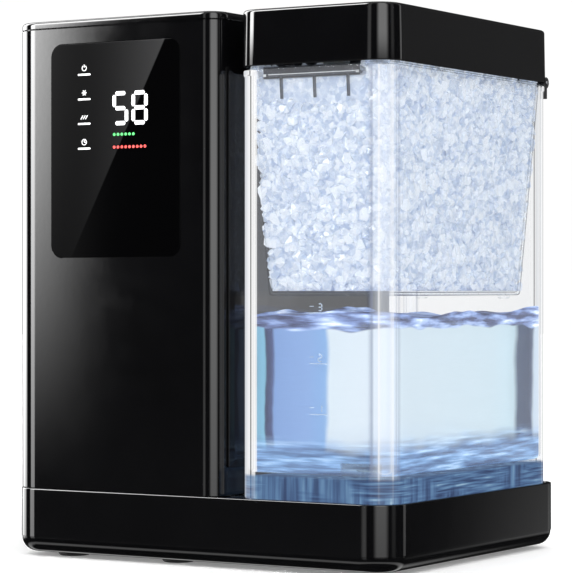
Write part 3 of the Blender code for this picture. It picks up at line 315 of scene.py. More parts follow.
def maths(tree, operation, *values):
    """A math node fed by numbers and sockets."""
    node = add_node(tree, "ShaderNodeMath", operation=operation)
    for socket, value in zip(node.inputs, values):
        if isinstance(value, (int, float)):
            socket.default_value = value
        else:
            tree.links.new(value, socket)
    return node.outputs["Value"]


def chosen(tree, share, under, over, data_type="RGBA"):
    """Two values or colours, mixed by a share."""
    node = add_node(tree, "ShaderNodeMix", data_type=data_type)
    for key, value in (("Factor", share), ("A", under), ("B", over)):
        tree.links.new(value, node.inputs[key])
    return node.outputs["Result"]


def place_of(tree, output="Object"):
    """A point's three coordinates, or those of its normal."""
    place = tree.nodes.new("ShaderNodeTexCoord")
    split = tree.nodes.new("ShaderNodeSeparateXYZ")
    tree.links.new(place.outputs[output], split.inputs["Vector"])
    return split.outputs["X"], split.outputs["Y"], split.outputs["Z"]


def relief(tree, shader, height, strength, distance):
    bump = add_node(tree, "ShaderNodeBump", Strength=strength, Distance=distance)
    tree.links.new(height, bump.inputs["Height"])
    tree.links.new(bump.outputs["Normal"], shader.inputs["Normal"])


def finish(name, color, roughness, metallic=0.0, mottle=0.15, mottle_scale=18.0, wear=0.03, grain=0.0,
           grain_scale=900.0, stretch=(1, 1, 1), **sockets):
    """A Principled finish: slow colour mottle, uneven roughness, and a fine grain as relief."""
    made, tree, shader = tree_of(name)
    vector = coordinates(tree)
    slow = noise_value(tree, vector, mottle_scale)
    darker = tuple(c * (1 - mottle) for c in color)
    lighter = tuple(min(c * (1 + mottle), 1.0) for c in color)
    tree.links.new(mixed(tree, slow, darker, lighter), shader.inputs["Base Color"])
    handling = noise_value(tree, vector, mottle_scale * 4, 5.0)
    rough = ranged(tree, handling, max(roughness - wear, 0.0), roughness + wear)
    tree.links.new(rough, shader.inputs["Roughness"])
    shader.inputs["Metallic"].default_value = metallic
    for key, value in sockets.items():
        shader.inputs[key.replace("_", " ")].default_value = value
    if grain:
        relief(tree, shader, noise_value(tree, coordinates(tree, stretch), grain_scale, 2.0), 0.6, grain)
    return made


def glow_over(tree, under, share, color):
    """The shader under with a painted glow of varying colour laid over it by a share."""
    glow = tree.nodes.new("ShaderNodeEmission")
    tree.links.new(color, glow.inputs["Color"])
    over = tree.nodes.new("ShaderNodeMixShader")
    tree.links.new(share, over.inputs["Fac"])
    tree.links.new(under, over.inputs[1])
    tree.links.new(glow.outputs["Emission"], over.inputs[2])
    return over.outputs["Shader"]


def corner_glints(tree, under):
    """Painted light on the rounded upright corners of a clear moulding: a glow laid on by the way each normal
    faces, standing in for light piped to them, as bright, grey and dark lines on each, and a faint painted
    haze over the flat walls. The ramp runs from corners whose normal has parts of unlike sign, through the
    flat walls, to the others."""
    across, along, _ = place_of(tree, "Normal")
    turn = maths(tree, "ADD", maths(tree, "MULTIPLY", across, along), 0.5)
    # painted colours: blue and white highlights, grey and dark lines, and the pale haze
    white, blue, grey, dark = (1.0, 1.0, 1.0), (0.86, 0.91, 1.0), (0.34, 0.38, 0.50), (0.015, 0.016, 0.02)
    color = ramp_of(tree, turn, (
        (0.03, blue), (0.08, white), (0.12, blue), (0.24, blue), (0.29, grey), (0.46, grey), (0.52, white),
        (0.71, white), (0.735, dark), (0.77, dark), (0.80, white), (1.0, (0.80, 0.82, 0.86))))
    # the painted haze: a faint pale glow over the flat walls
    painted_haze_share = 0.045
    share = ramp_of(tree, turn, (
        (0.0, 0.20), (0.06, 0.28), (0.085, 0.60), (0.12, 0.22), (0.25, 0.12), (0.31, 0.42), (0.37, 0.28),
        (0.44, painted_haze_share), (0.53, painted_haze_share), (0.56, 0.75), (0.71, 0.70), (0.735, 0.85), (0.77, 0.85), (0.80, 0.78),
        (1.0, 0.72)))
    return glow_over(tree, under, share, color)


def blue_skirt(tree, under):
    """Painted light: a streaked blue glow laid on the skirt under the tank's floor, away from the tower,
    standing in for the light caught there.
    """
    x, _, z = place_of(tree)
    low = ranged(tree, z, 0.80, 0.0, TANK_FLOOR - 0.0025, TANK_FLOOR - 0.0005)
    away = ranged(tree, x, 0.0, 1.0, TANK_LOW.x + 0.001, TANK_LOW.x + 0.008)
    upright = noise_value(tree, coordinates(tree, (190, 190, 10)), 1.0, 3.0)
    level = noise_value(tree, coordinates(tree, (26, 26, 560)), 1.0, 3.0)
    which = ranged(tree, noise_value(tree, coordinates(tree, (22, 22, 30)), 1.0, 2.0), 0.0, 1.0, 0.44, 0.56)
    # painted glow colours, dark to pale blue, picked by streaks
    color = ramp_of(tree, chosen(tree, which, upright, level, "FLOAT"), (
        (0.33, (0.032, 0.052, 0.125)), (0.45, (0.062, 0.115, 0.240)), (0.55, (0.100, 0.195, 0.360)),
        (0.65, (0.165, 0.300, 0.480)), (0.78, (0.42, 0.60, 0.72))))
    return glow_over(tree, under, maths(tree, "MULTIPLY", low, away), color)


def clear_finish(name, tint, edge_tint, roughness=0.02, extras=()):
    """Clear moulded plastic: straight through face on, tinted along its walls, with a gloss."""
    made, tree, shader = tree_of(name)
    tree.nodes.remove(shader)
    facing = add_node(tree, "ShaderNodeLayerWeight", Blend=0.35)
    through = tree.nodes.new("ShaderNodeBsdfTransparent")
    tints = ramp_of(tree, facing.outputs["Facing"], ((0.42, tint), (0.95, edge_tint)))
    tree.links.new(tints, through.inputs["Color"])
    gloss = tree.nodes.new("ShaderNodeBsdfGlossy")
    handling = noise_value(tree, coordinates(tree), 25.0, 4.0)
    tree.links.new(ranged(tree, handling, roughness, roughness * 2.5), gloss.inputs["Roughness"])
    grazing = add_node(tree, "ShaderNodeLayerWeight", Blend=0.5)
    steep = maths(tree, "POWER", grazing.outputs["Facing"], 5.0)
    blend = tree.nodes.new("ShaderNodeMixShader")
    tree.links.new(maths(tree, "MULTIPLY_ADD", steep, 0.5, 0.010), blend.inputs["Fac"])
    tree.links.new(through.outputs["BSDF"], blend.inputs[1])
    tree.links.new(gloss.outputs["BSDF"], blend.inputs[2])
    surface = blend.outputs["Shader"]
    for extra in extras:
        surface = extra(tree, surface)
    tree.links.new(surface, tree.nodes["Material Output"].inputs["Surface"])
    return made


def glowing(name, color, strength):
    made, tree, shader = tree_of(name)
    shader.inputs["Base Color"].default_value = (*[c * 0.3 for c in color], 1)
    shader.inputs["Roughness"].default_value = 0.4
    shader.inputs["Emission Color"].default_value = (*color, 1)
    uneven = noise_value(tree, coordinates(tree), 260.0)
    tree.links.new(ranged(tree, uneven, strength * 0.9, strength), shader.inputs["Emission Strength"])
    return made


def water_bands(tree, across):
    """Painted light: bands of refracted light painted side by side in the water, ordered by how far across
    the view they lie.
    """
    start, end = -0.03, 0.20
    spread = ranged(tree, across, 0.0, 1.0, start + 0.003, end + 0.003)
    stops = (
        (-0.0240, (0.04, 0.07, 0.10)), (-0.0225, (0.14, 0.31, 0.43)), (-0.0175, (0.17, 0.37, 0.50)),
        (-0.0163, (0.030, 0.038, 0.085)), (-0.0118, (0.055, 0.075, 0.17)), (-0.0104, (0.16, 0.26, 0.48)),
        (0.0125, (0.19, 0.30, 0.53)), (0.0245, (0.18, 0.32, 0.55)), (0.0272, (0.52, 0.59, 0.64)),
        (0.0640, (0.54, 0.60, 0.65)), (0.0760, (0.46, 0.54, 0.59)), (0.1450, (0.45, 0.55, 0.60)),
        (0.1635, (0.44, 0.57, 0.63)), (0.1672, (0.045, 0.070, 0.125)), (0.1790, (0.032, 0.048, 0.095)),
        (0.1810, (0.46, 0.54, 0.62)))
    return ramp_of(tree, spread, [((place - start) / (end - start), color) for place, color in stops])


def water_finish():
    """Blue water in a lit tank, its light painted into its colour and glow: bands of refracted light, a dark
    rippled surface with pale highlights, and streaks of light over the floor; and enough clearness to see the
    far walls, with more of it in front of the filter."""
    made, tree, shader = tree_of("water")
    place = tree.nodes.new("ShaderNodeTexCoord")
    turn = math.radians(CAMERA_TURN[2])
    dot = add_node(tree, "ShaderNodeVectorMath", operation="DOT_PRODUCT")
    tree.links.new(place.outputs["Object"], dot.inputs[0])
    dot.inputs[1].default_value = (math.cos(turn), math.sin(turn), 0.0)
    across = dot.outputs["Value"]
    z = place_of(tree)[2]
    swirl = noise_value(tree, coordinates(tree, (14, 14, 26)), 1.0, 2.0)
    body = water_bands(tree, maths(tree, "MULTIPLY_ADD", swirl, 0.006, across))
    waves = noise_value(tree, coordinates(tree, (34, 34, 250)), 1.0, 3.0)
    # painted reflections on the rippled surface: dark navy shade with pale highlights
    surface = ramp_of(tree, waves, (
        (0.34, (0.030, 0.034, 0.075)), (0.45, (0.085, 0.11, 0.22)), (0.54, (0.20, 0.28, 0.52)),
        (0.64, (0.42, 0.54, 0.78)), (0.74, (0.9, 0.94, 1.0))))
    streaks = noise_value(tree, coordinates(tree, (22, 22, 300)), 1.0, 3.5)
    # painted streaks of light over the floor
    floor = ramp_of(tree, streaks, (
        (0.33, (0.040, 0.070, 0.150)), (0.46, (0.095, 0.175, 0.33)), (0.56, (0.19, 0.34, 0.58)),
        (0.68, (0.45, 0.64, 0.84)), (0.80, (0.85, 0.95, 1.0))))
    edge = maths(tree, "MULTIPLY_ADD", noise_value(tree, coordinates(tree, (30, 30, 0)), 1.0, 1.0), 0.010, z)
    low = ranged(tree, edge, 1.0, 0.0, PAINTED_FLOOR_STREAKS, PAINTED_FLOOR_STREAKS + 0.012)
    high = ranged(tree, edge, 0.0, 1.0, PAINTED_RIPPLE_BAND, PAINTED_RIPPLE_BAND + 0.0012)
    color = chosen(tree, high, chosen(tree, low, body, floor), surface)
    # the painted light goes in both as base colour and as glow
    tree.links.new(color, shader.inputs["Base Color"])
    tree.links.new(color, shader.inputs["Emission Color"])
    shader.inputs["Emission Strength"].default_value = 0.62
    shader.inputs["Roughness"].default_value = 0.04
    shader.inputs["IOR"].default_value = 1.333
    beside = maths(tree, "MULTIPLY", ranged(tree, across, 0.0, 1.0, 0.0340, 0.0352),
                   ranged(tree, across, 1.0, 0.0, 0.0612, 0.0624))
    clearer = maths(tree, "MULTIPLY", beside, ranged(tree, z, 1.0, 0.0, 0.0755, 0.0765))
    tree.links.new(ranged(tree, clearer, 0.78, 0.30, 0.0, 1.0), shader.inputs["Alpha"])
    relief(tree, shader, waves, 0.5, 0.0006)
    return made


def ice_finish(name, deep, pale):
    """Nugget ice: white to pale blue by the piece, cloudy inside, wet outside, with fine cracks and a faint
    painted glow.
    """
    made, tree, shader = tree_of(name)
    shade = add_node(tree, "ShaderNodeAttribute", attribute_name="shade")
    vector = coordinates(tree)
    clouded = maths(tree, "MULTIPLY_ADD", noise_value(tree, vector, 160.0, 4.0), 0.45, shade.outputs["Fac"])
    flakes = add_node(tree, "ShaderNodeTexVoronoi", Scale=300.0)
    tree.links.new(vector, flakes.inputs["Vector"])
    flaked = maths(tree, "MULTIPLY_ADD", flakes.outputs["Color"], 0.42, clouded)
    tree.links.new(mixed(tree, flaked, deep, pale), shader.inputs["Base Color"])
    cracks = add_node(tree, "ShaderNodeTexVoronoi", feature="DISTANCE_TO_EDGE", Scale=330.0)
    tree.links.new(vector, cracks.inputs["Vector"])
    relief(tree, shader, cracks.outputs["Distance"], 0.7, 0.0008)
    # the emission is a painted glow, standing in for light carried through the ice
    for key, value in (
            ("Roughness", 0.16), ("IOR", 1.31), ("Subsurface Weight", 0.12), ("Subsurface Scale", 1.0),
            ("Subsurface Radius", (0.004, 0.005, 0.007)), ("Coat Weight", 0.5), ("Coat Roughness", 0.05),
            ("Emission Color", (0.82, 0.89, 1.0, 1)), ("Emission Strength", 0.17)):
        shader.inputs[key].default_value = value
    return made


def black_glass_finish():
    """The control glass: deep black, with a painted reflection of lighter grey above a slanting edge."""
    made, tree, shader = tree_of("black_glass")
    x, _, z = place_of(tree)
    # the painted reflection: lighter grey above a slanting edge, brighter towards the right
    top, bottom = Vector((-0.022, 0.368)), Vector((-0.103, 0.215))
    run = (top - bottom).normalized()
    side = Vector((-run.y, run.x))
    beside = maths(tree, "MULTIPLY_ADD", z, side.y, maths(tree, "MULTIPLY_ADD", x, side.x, -side.dot(bottom)))
    edge = ranged(tree, beside, 0.0, 1.0, -0.0002, 0.0006)
    rise = maths(tree, "POWER", ranged(tree, x, 0.0, 1.0, GLASS_LOW.x, top.x), 1.9)
    painted_reflection = maths(tree, "MULTIPLY", edge, rise)
    color = ramp_of(tree, painted_reflection, ((0.0, (0.0012, 0.0012, 0.0014)), (1.0, (0.052, 0.052, 0.053))))
    tree.links.new(color, shader.inputs["Base Color"])
    shader.inputs["Roughness"].default_value = 0.05
    shader.inputs["Specular IOR Level"].default_value = 0.03
    return made


def make_materials():
    white = (0.82, 0.82, 0.78)
    return {
        "gloss_black": finish("gloss_black", (0.0022, 0.0022, 0.0026), 0.05, wear=0.012, grain=0.000004,
            grain_scale=260.0, IOR=1.5),
        "matte_black": finish("matte_black", (0.018, 0.018, 0.019), 0.5, wear=0.06, grain=0.00008,
            grain_scale=2200.0),
        "black_glass": black_glass_finish(),
        "clear_plastic": clear_finish("clear_plastic", (0.995, 0.997, 0.999), (0.55, 0.60, 0.64),
            extras=(corner_glints, blue_skirt)),
        "clear_basket": clear_finish("clear_basket", (0.985, 0.99, 0.995), (0.35, 0.39, 0.44)),
        # pale strips that are painted highlights along the grip
        "bright_edge": finish("bright_edge", (0.86, 0.88, 0.92), 0.15, wear=0.02),
        "smoke_plastic": finish("smoke_plastic", (0.050, 0.053, 0.062), 0.12, wear=0.03, grain=0.00002,
            Alpha=0.72),
        "rubber": finish("rubber", (0.014, 0.014, 0.015), 0.75, wear=0.08, grain=0.0001, grain_scale=1500.0),
        "steel": finish("steel", (0.52, 0.53, 0.55), 0.27, 1.0, mottle=0.06, wear=0.07, grain=0.00002,
            grain_scale=500.0, stretch=(1, 1, 30)),
        "dark_steel": finish("dark_steel", (0.02, 0.02, 0.024), 0.33, 0.2, wear=0.05, grain=0.00003,
            grain_scale=600.0),
        "copper": finish("copper", (0.62, 0.27, 0.14), 0.26, 1.0, mottle=0.25, mottle_scale=60.0, wear=0.09),
        "aluminium": finish("aluminium", (0.72, 0.73, 0.75), 0.33, 1.0, mottle=0.05, wear=0.08, grain=0.00002,
            grain_scale=700.0, stretch=(30, 1, 1)),
        "brass": finish("brass", (0.66, 0.47, 0.18), 0.28, 1.0, mottle=0.12, wear=0.06),
        "white_nylon": finish("white_nylon", white, 0.42, mottle=0.03, wear=0.05, grain=0.00004,
            grain_scale=1200.0, Subsurface_Weight=0.12, Subsurface_Scale=0.002),
        "foam": finish("foam", (0.035, 0.035, 0.038), 0.9, wear=0.05, grain=0.0004, grain_scale=1100.0),
        "board_green": finish("board_green", (0.012, 0.10, 0.045), 0.38, mottle=0.3, mottle_scale=90.0,
            wear=0.08, grain=0.00006, grain_scale=420.0),
        "silicone": finish("silicone", (0.70, 0.71, 0.71), 0.36, mottle=0.05, wear=0.06,
            Subsurface_Weight=0.3, Subsurface_Scale=0.003),
        "grey_plastic": finish("grey_plastic", (0.13, 0.14, 0.15), 0.42, wear=0.05, grain=0.00006,
            grain_scale=1800.0),
        "white_light": glowing("white_light", (1.0, 1.0, 1.0), 1.6),
        "green_light": glowing("green_light", (0.10, 0.85, 0.20), 1.1),
        "red_light": glowing("red_light", (1.0, 0.06, 0.05), 1.2),
        "print": finish("print", (0.55, 0.66, 0.80), 0.5, grain=0.00001, Alpha=0.55),
        "water": water_finish(),
        "ice": ice_finish("ice", (0.40, 0.49, 0.66), (0.80, 0.84, 0.90)),
    }


LOOKS = make_materials()


# ---------------- camera and studio


def place_camera():
    camera = bpy.data.objects.new("camera", bpy.data.cameras.new("camera"))
    camera.location = CAMERA_AT
    camera.rotation_euler = [math.radians(angle) for angle in CAMERA_TURN]
    camera.data.lens = CAMERA_LENS
    camera.data.sensor_width = 36.0
    camera.data.clip_end = 50.0
    SCENE.collection.objects.link(camera)
    SCENE.camera = camera


# Soft windows of the studio, in degrees: from and to round the object (0 in front, positive to its left), the
# softness of those two edges, lowest and highest elevation, the lower one's softness, and brightness
STUDIO_WINDOWS = [
    (35.3, 57.0, 2.8, 4.0, -4.5, 60.0, 13.0, 17.5),
    (39.5, 57.0, 1.5, 4.0, -14.0, 60.0, 14.0, 6.0),
    (74.0, 122.0, 14.0, 14.0, -12.0, 60.0, 14.0, 10.0),
    (2.0, 24.0, 8.0, 8.0, -20.0, 60.0, 12.0, 0.9),
    (-76.0, -16.0, 18.0, 18.0, -14.0, 65.0, 18.0, 3.8),
    (-104.0, -80.0, 10.0, 10.0, -12.0, 60.0, 12.0, 0.5),
    (-147.0, -134.0, 1.2, 5.0, -12.0, 60.0, 12.0, 1.1),
    (-172.0, -151.5, 4.0, 5.0, -16.0, 2.0, 8.0, 0.59),
    (-172.0, -147.5, 4.0, 1.0, -2.0, 60.0, 6.0, 0.10),
    (6.0, 62.0, 4.0, 4.0, -14.0, 1.0, 6.0, 0.05),
]
WINDOW_TOP_SOFTNESS = 10.0
STUDIO_DARK = 0.020
STUDIO_FLOOR_GLOW = 1.2  # the floor's light that shows in the base's rounded lower edge
STUDIO_CEILING = 0.9
STUDIO_MATT = 0.90  # the white sweep's strength where it lights matt faces
STUDIO_BACKDROP = 1.02  # and where the camera sees it


def studio_world():
    """A white sweep to look at and to light by, and a dark room with soft windows for the gloss to mirror."""
    world = bpy.data.worlds.new("studio")
    SCENE.world = world
    world.use_nodes = True
    tree = world.node_tree
    background = tree.nodes["Background"]
    x, y, z = place_of(tree, "Generated")

    def step(value, start, end):
        node = add_node(tree, "ShaderNodeMapRange", interpolation_type="SMOOTHSTEP")
        node.inputs["From Min"].default_value = math.radians(start)
        node.inputs["From Max"].default_value = math.radians(end)
        tree.links.new(value, node.inputs["Value"])
        return node.outputs["Result"]

    round_angle = maths(tree, "ARCTAN2", maths(tree, "MULTIPLY", x, -1.0), maths(tree, "MULTIPLY", y, -1.0))
    height = maths(tree, "ARCSINE", z)
    total = maths(tree, "MULTIPLY_ADD", step(height, 35.0, 75.0), STUDIO_CEILING, STUDIO_DARK)
    underfoot = maths(tree, "SUBTRACT", step(height, -46.0, -38.0), step(height, -34.0, -26.0))
    total = maths(tree, "MULTIPLY_ADD", underfoot, STUDIO_FLOOR_GLOW, total)
    for low, high, soft_low, soft_high, bottom, top, soft_height, brightness in STUDIO_WINDOWS:
        columns = maths(tree, "SUBTRACT", step(round_angle, low, low + soft_low),
                        step(round_angle, high - soft_high, high))
        rows = maths(tree, "SUBTRACT", step(height, bottom, bottom + soft_height),
                     step(height, top - WINDOW_TOP_SOFTNESS, top))
        total = maths(tree, "MULTIPLY_ADD", maths(tree, "MULTIPLY", columns, rows), brightness, total)
    path = tree.nodes.new("ShaderNodeLightPath").outputs
    mirrored = maths(tree, "MULTIPLY", path["Is Glossy Ray"], path["Is Reflection Ray"])
    matt = maths(tree, "MULTIPLY_ADD", path["Is Diffuse Ray"], STUDIO_MATT - STUDIO_BACKDROP, STUDIO_BACKDROP)
    tree.links.new(chosen(tree, mirrored, matt, total, "FLOAT"), background.inputs["Strength"])
    background.inputs["Color"].default_value = (1.0, 1.0, 1.0, 1)


def studio_lights():
    sun = bpy.data.objects.new("soft_sun", bpy.data.lights.new("soft_sun", "SUN"))
    sun.data.energy = 1.1
    sun.data.angle = math.radians(50)
    sun.rotation_euler = (math.radians(38), math.radians(12), math.radians(35))
    sun.visible_glossy = False
    SCENE.collection.objects.link(sun)


def studio_floor():
    """A pale floor, drawn as a large round disc with a slightly uneven matt finish."""
    made, tree, shader = tree_of("pale_floor")
    soft = noise_value(tree, coordinates(tree), 3.0)
    tree.links.new(mixed(tree, soft, (0.93, 0.93, 0.93), (0.96, 0.96, 0.96)), shader.inputs["Base Color"])
    shader.inputs["Roughness"].default_value = 0.9
    shader.inputs["Emission Color"].default_value = (1, 1, 1, 1)
    shader.inputs["Emission Strength"].default_value = 0.22
    maker = bmesh.new()
    bmesh.ops.create_circle(maker, cap_ends=True, segments=96, radius=9.0)
    floor = finish_mesh("floor", maker, made, weighted=False)
    floor.location.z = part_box("foot_front_left")[0].z - 0.0001
    floor.visible_glossy = False


# ---------------- shells


def base_skin():
    """The base: quarter-round lower edge, a fine crease above it, a crisp upper rim and the tray inside."""
    crease, round_radius, rim = 0.0005, 0.0105, 0.0006
    box_of = (BASE_LOW.x, BASE_HIGH.x, BASE_LOW.y, BASE_HIGH.y, BASE_RADII)
    low, top = BASE_LOW.z, BASE_HIGH.z
    steps = 12
    rounds = [math.pi / 2 * k / steps for k in range(steps + 1)]
    under = [(crease + round_radius * (1 - math.sin(turn)), low + round_radius * (1 - math.cos(turn)))
             for turn in rounds]
    crease_z = low + round_radius
    rings = stacked(
        box_of, (0.010 + crease, low), *under, (crease, crease_z + 0.0003), (0.0001, crease_z + 0.0005),
        (0.0, crease_z + 0.0010), (0.0, top - rim - 0.0002))
    rings += rolled(box_of, rim, top, 3)
    rings += stacked(box_of, (WALL, top), (WALL, low + 0.009), (0.010, low + WALL))
    skin = loft("base_skin", rings, LOOKS["gloss_black"], smooth_angle=50.0)
    return settle(skin, "cabinet", "gloss_black", "base_pan")


def tower_skin():
    """The tower's moulding, with the pocket for the glass and the openings at the rear, side and ice port."""
    box_of = (SHELL_LOW.x, SHELL_HIGH.x, SHELL_LOW.y, SHELL_HIGH.y, TOWER_RADII)
    low, top, lip = SHELL_LOW.z, SHELL_HIGH.z, 0.0004
    rings = stacked(
        box_of, (lip, low), (0.0, low + lip), (0.0, top - lip), (lip, top), (WALL, top), (WALL, low))
    skin = loft("tower_skin", rings, LOOKS["gloss_black"], closed=True)
    slack = 0.0003

    def opening(low_corner, high_corner, over, side, radius, steps):
        """A rounded outline in the plane of side and Z, wider than two corners by over on every side."""
        first, last = getattr(low_corner, side) - over, getattr(high_corner, side) + over
        return rounded_rect(first, last, low_corner.z - over, high_corner.z + over, [radius] * 4, steps)

    pocket = opening(GLASS_LOW, GLASS_HIGH, slack, "x", 0.0095, 12)
    window = opening(GLASS_LOW, GLASS_HIGH, -0.006, "x", 0.004, 4)
    rear_low, rear_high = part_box("rear_panel")
    rear_hole = rounded_rect(rear_low.x + 0.006, rear_high.x - 0.006, rear_low.z + 0.005, rear_high.z - 0.006,
                             [0.004] * 4, 4)
    side_hole = opening(*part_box("side_vent_grille"), slack, "y", 0.0003, 1)
    port = rounded_rect(CHUTE_LOW.y + 0.008 - slack, CHUTE_HIGH.y - 0.008 + slack, 0.350 - slack,
                        CHUTE_HIGH.z + slack, [0.0003] * 4, 1)
    front = SHELL_LOW.y
    cut(
        skin,
        cutter("pocket cutter", [on_y(pocket, front - 0.004), on_y(pocket, front + 0.0018)]),
        cutter("window cutter", [on_y(window, front - 0.004), on_y(window, front + 0.009)]),
        cutter("rear cutter", [on_y(rear_hole, SHELL_HIGH.y - 0.008), on_y(rear_hole, SHELL_HIGH.y + 0.005)]),
        cutter("side cutter", [on_x(side_hole, SHELL_LOW.x - 0.005), on_x(side_hole, SHELL_LOW.x + 0.008)]),
        cutter("port cutter", [on_x(port, SHELL_HIGH.x - 0.008), on_x(port, SHELL_HIGH.x + 0.005)]),
    )
    return settle(skin, "cabinet", "gloss_black", "tower_shell")


def cap_skin():
    """The tower's top, with a rolled edge over a shadow seam."""
    box_of = (SHELL_LOW.x, SHELL_HIGH.x, SHELL_LOW.y, SHELL_HIGH.y, TOWER_RADII)
    seam, top, edge = SHELL_HIGH.z + 0.0003, CAP_HIGH.z, 0.0026
    rings = stacked(
        box_of, (0.0052, top - 0.003), (0.0052, CAP_LOW.z), (0.0033, CAP_LOW.z), (0.0033, seam + 0.0002),
        (0.0004, seam), (0.0, seam + 0.0004))
    rings += rolled(box_of, edge, top)
    skin = loft("tower_cap_skin", rings, LOOKS["gloss_black"])
    return settle(skin, "cabinet", "gloss_black", "tower_cap")


def lid_skin():
    """The lid: a hollow cap with a little draft, a rolled upper edge and a notch for the chute."""
    draft, edge, wall = 0.0006, 0.0024, 0.0018
    box_of = (LID_LOW.x, LID_HIGH.x, LID_LOW.y, 0.1186, TANK_RADII)
    low, top = 0.346, LID_HIGH.z
    rings = stacked(
        box_of, (wall + draft + 0.002, top - wall), (wall + draft, top - wall - 0.002), (wall, low),
        (0.0005, low), (0.0001, low + 0.0003), (0.0, low + 0.0007))
    rings += rolled(box_of, edge, top, start=draft)
    skin = loft("lid_skin", rings, LOOKS["gloss_black"])
    slack = 0.0035
    notch = rounded_rect(-0.014 - slack, 0.026 + slack, low - 0.004, CHUTE_HIGH.z + 0.003, [0.0025] * 4, 5)
    cut(skin, cutter("notch cutter", [on_x(notch, LID_LOW.x - 0.004), on_x(notch, LID_LOW.x + 0.006)]))
    return settle(skin, "lid", "gloss_black", "lid")


def lid_arms():
    """The lid's two hinge knuckles and the webs that carry them."""
    radius, bore = 0.0042, 0.0020
    y, z = HINGE_AT
    maker = bmesh.new()
    for x0, x1 in ((0.0610, 0.0760), (0.1190, 0.1340)):
        profile = [(x0, radius), (x0 + 0.0003, radius), (x1 - 0.0003, radius), (x1, radius), (x1, bore),
                   (x0, bore)]
        loft_into(maker, [on_x(circle((y, z), r), x) for x, r in profile], closed=True)
        box_into(maker, (x0 + 0.0002, x1 - 0.0002), (0.1180, y - 0.0022), (z + 0.0006, z + 0.0040))
    arms = finish_mesh("lid_hinge_arms", maker, LOOKS["gloss_black"])
    return settle(arms, "lid", "gloss_black")


def glass_skin():
    """The control glass with a fine ground edge."""
    x, z = (GLASS_LOW.x, GLASS_HIGH.x), (GLASS_LOW.z, GLASS_HIGH.z)
    box_of = (*x, *z, [0.0091] * 4)
    face, back, edge = GLASS_LOW.y, GLASS_HIGH.y, 0.0005
    rings = stacked(box_of, (0.0002, back), (0.0, back - 0.0002), plane=on_y)
    rings += rolled(box_of, -edge, face, 4, plane=on_y)
    skin = loft("control_glass_skin", rings, LOOKS["black_glass"])
    return settle(skin, "cabinet", "black_glass", "control_glass")


def dock_skin():
    """The bevelled plate that stands off the tower's right wall."""
    y, z = (DOCK_LOW.y, DOCK_HIGH.y), (DOCK_LOW.z, DOCK_HIGH.z)
    box_of = (*y, *z, [0.002] * 4)
    back, face = DOCK_LOW.x, DOCK_HIGH.x
    rings = stacked(
        box_of, (0.0, back), (0.0, back + 0.0012), (0.0005, back + 0.0015), (0.0049, face - 0.0002),
        (0.0054, face), plane=on_x)
    skin = loft("dock_plate_skin", rings, LOOKS["gloss_black"], smooth_angle=20.0)
    return settle(skin, "cabinet", "gloss_black", "dock_plate")


# ---------------- display

SEGMENTS = {"1": "bc", "2": "abged", "3": "abgcd", "5": "afgcd", "8": "abcdefg"}


def bar_into(maker, start, end, width, y):
    """A flat stroke with chamfered ends on the front plane, from one point to another."""
    start, end = Vector(start), Vector(end)
    run = (end - start).normalized()
    side = Vector((-run.y, run.x)) * width / 2
    tip = run * width * 0.32
    outline = [start - side + tip, end - side - tip, end - side * 0.35, end + side * 0.35, end + side - tip,
               start + side + tip, start + side * 0.35, start - side * 0.35]
    points = [(p.x, p.y) for p in outline]
    loft_into(maker, [on_y(points, y[1]), on_y(points, y[0])])


def digit_into(maker, digit, low, high, width, y):
    x0, z0, x1, z1 = low[0] + width / 2, low[1] + width / 2, high[0] - width / 2, high[1] - width / 2
    middle = (z0 + z1) / 2
    gap = width * 0.34
    strokes = {
        "a": ((x0 + gap, z1), (x1 - gap, z1)), "g": ((x0 + gap, middle), (x1 - gap, middle)),
        "d": ((x0 + gap, z0), (x1 - gap, z0)), "f": ((x0, middle + gap), (x0, z1 - gap)),
        "b": ((x1, middle + gap), (x1, z1 - gap)), "e": ((x0, z0 + gap), (x0, middle - gap)),
        "c": ((x1, z0 + gap), (x1, middle - gap)),
    }
    for letter in SEGMENTS[digit]:
        bar_into(maker, *strokes[letter], width, y)


def arc_into(maker, centre, radius, start, end, width, y, steps=14):
    turns = [math.radians(start + (end - start) * k / steps) for k in range(steps + 1)]
    points = [(centre[0] + radius * math.cos(turn), centre[1] + radius * math.sin(turn)) for turn in turns]
    for a, b in zip(points, points[1:]):
        bar_into(maker, a, b, width, y)


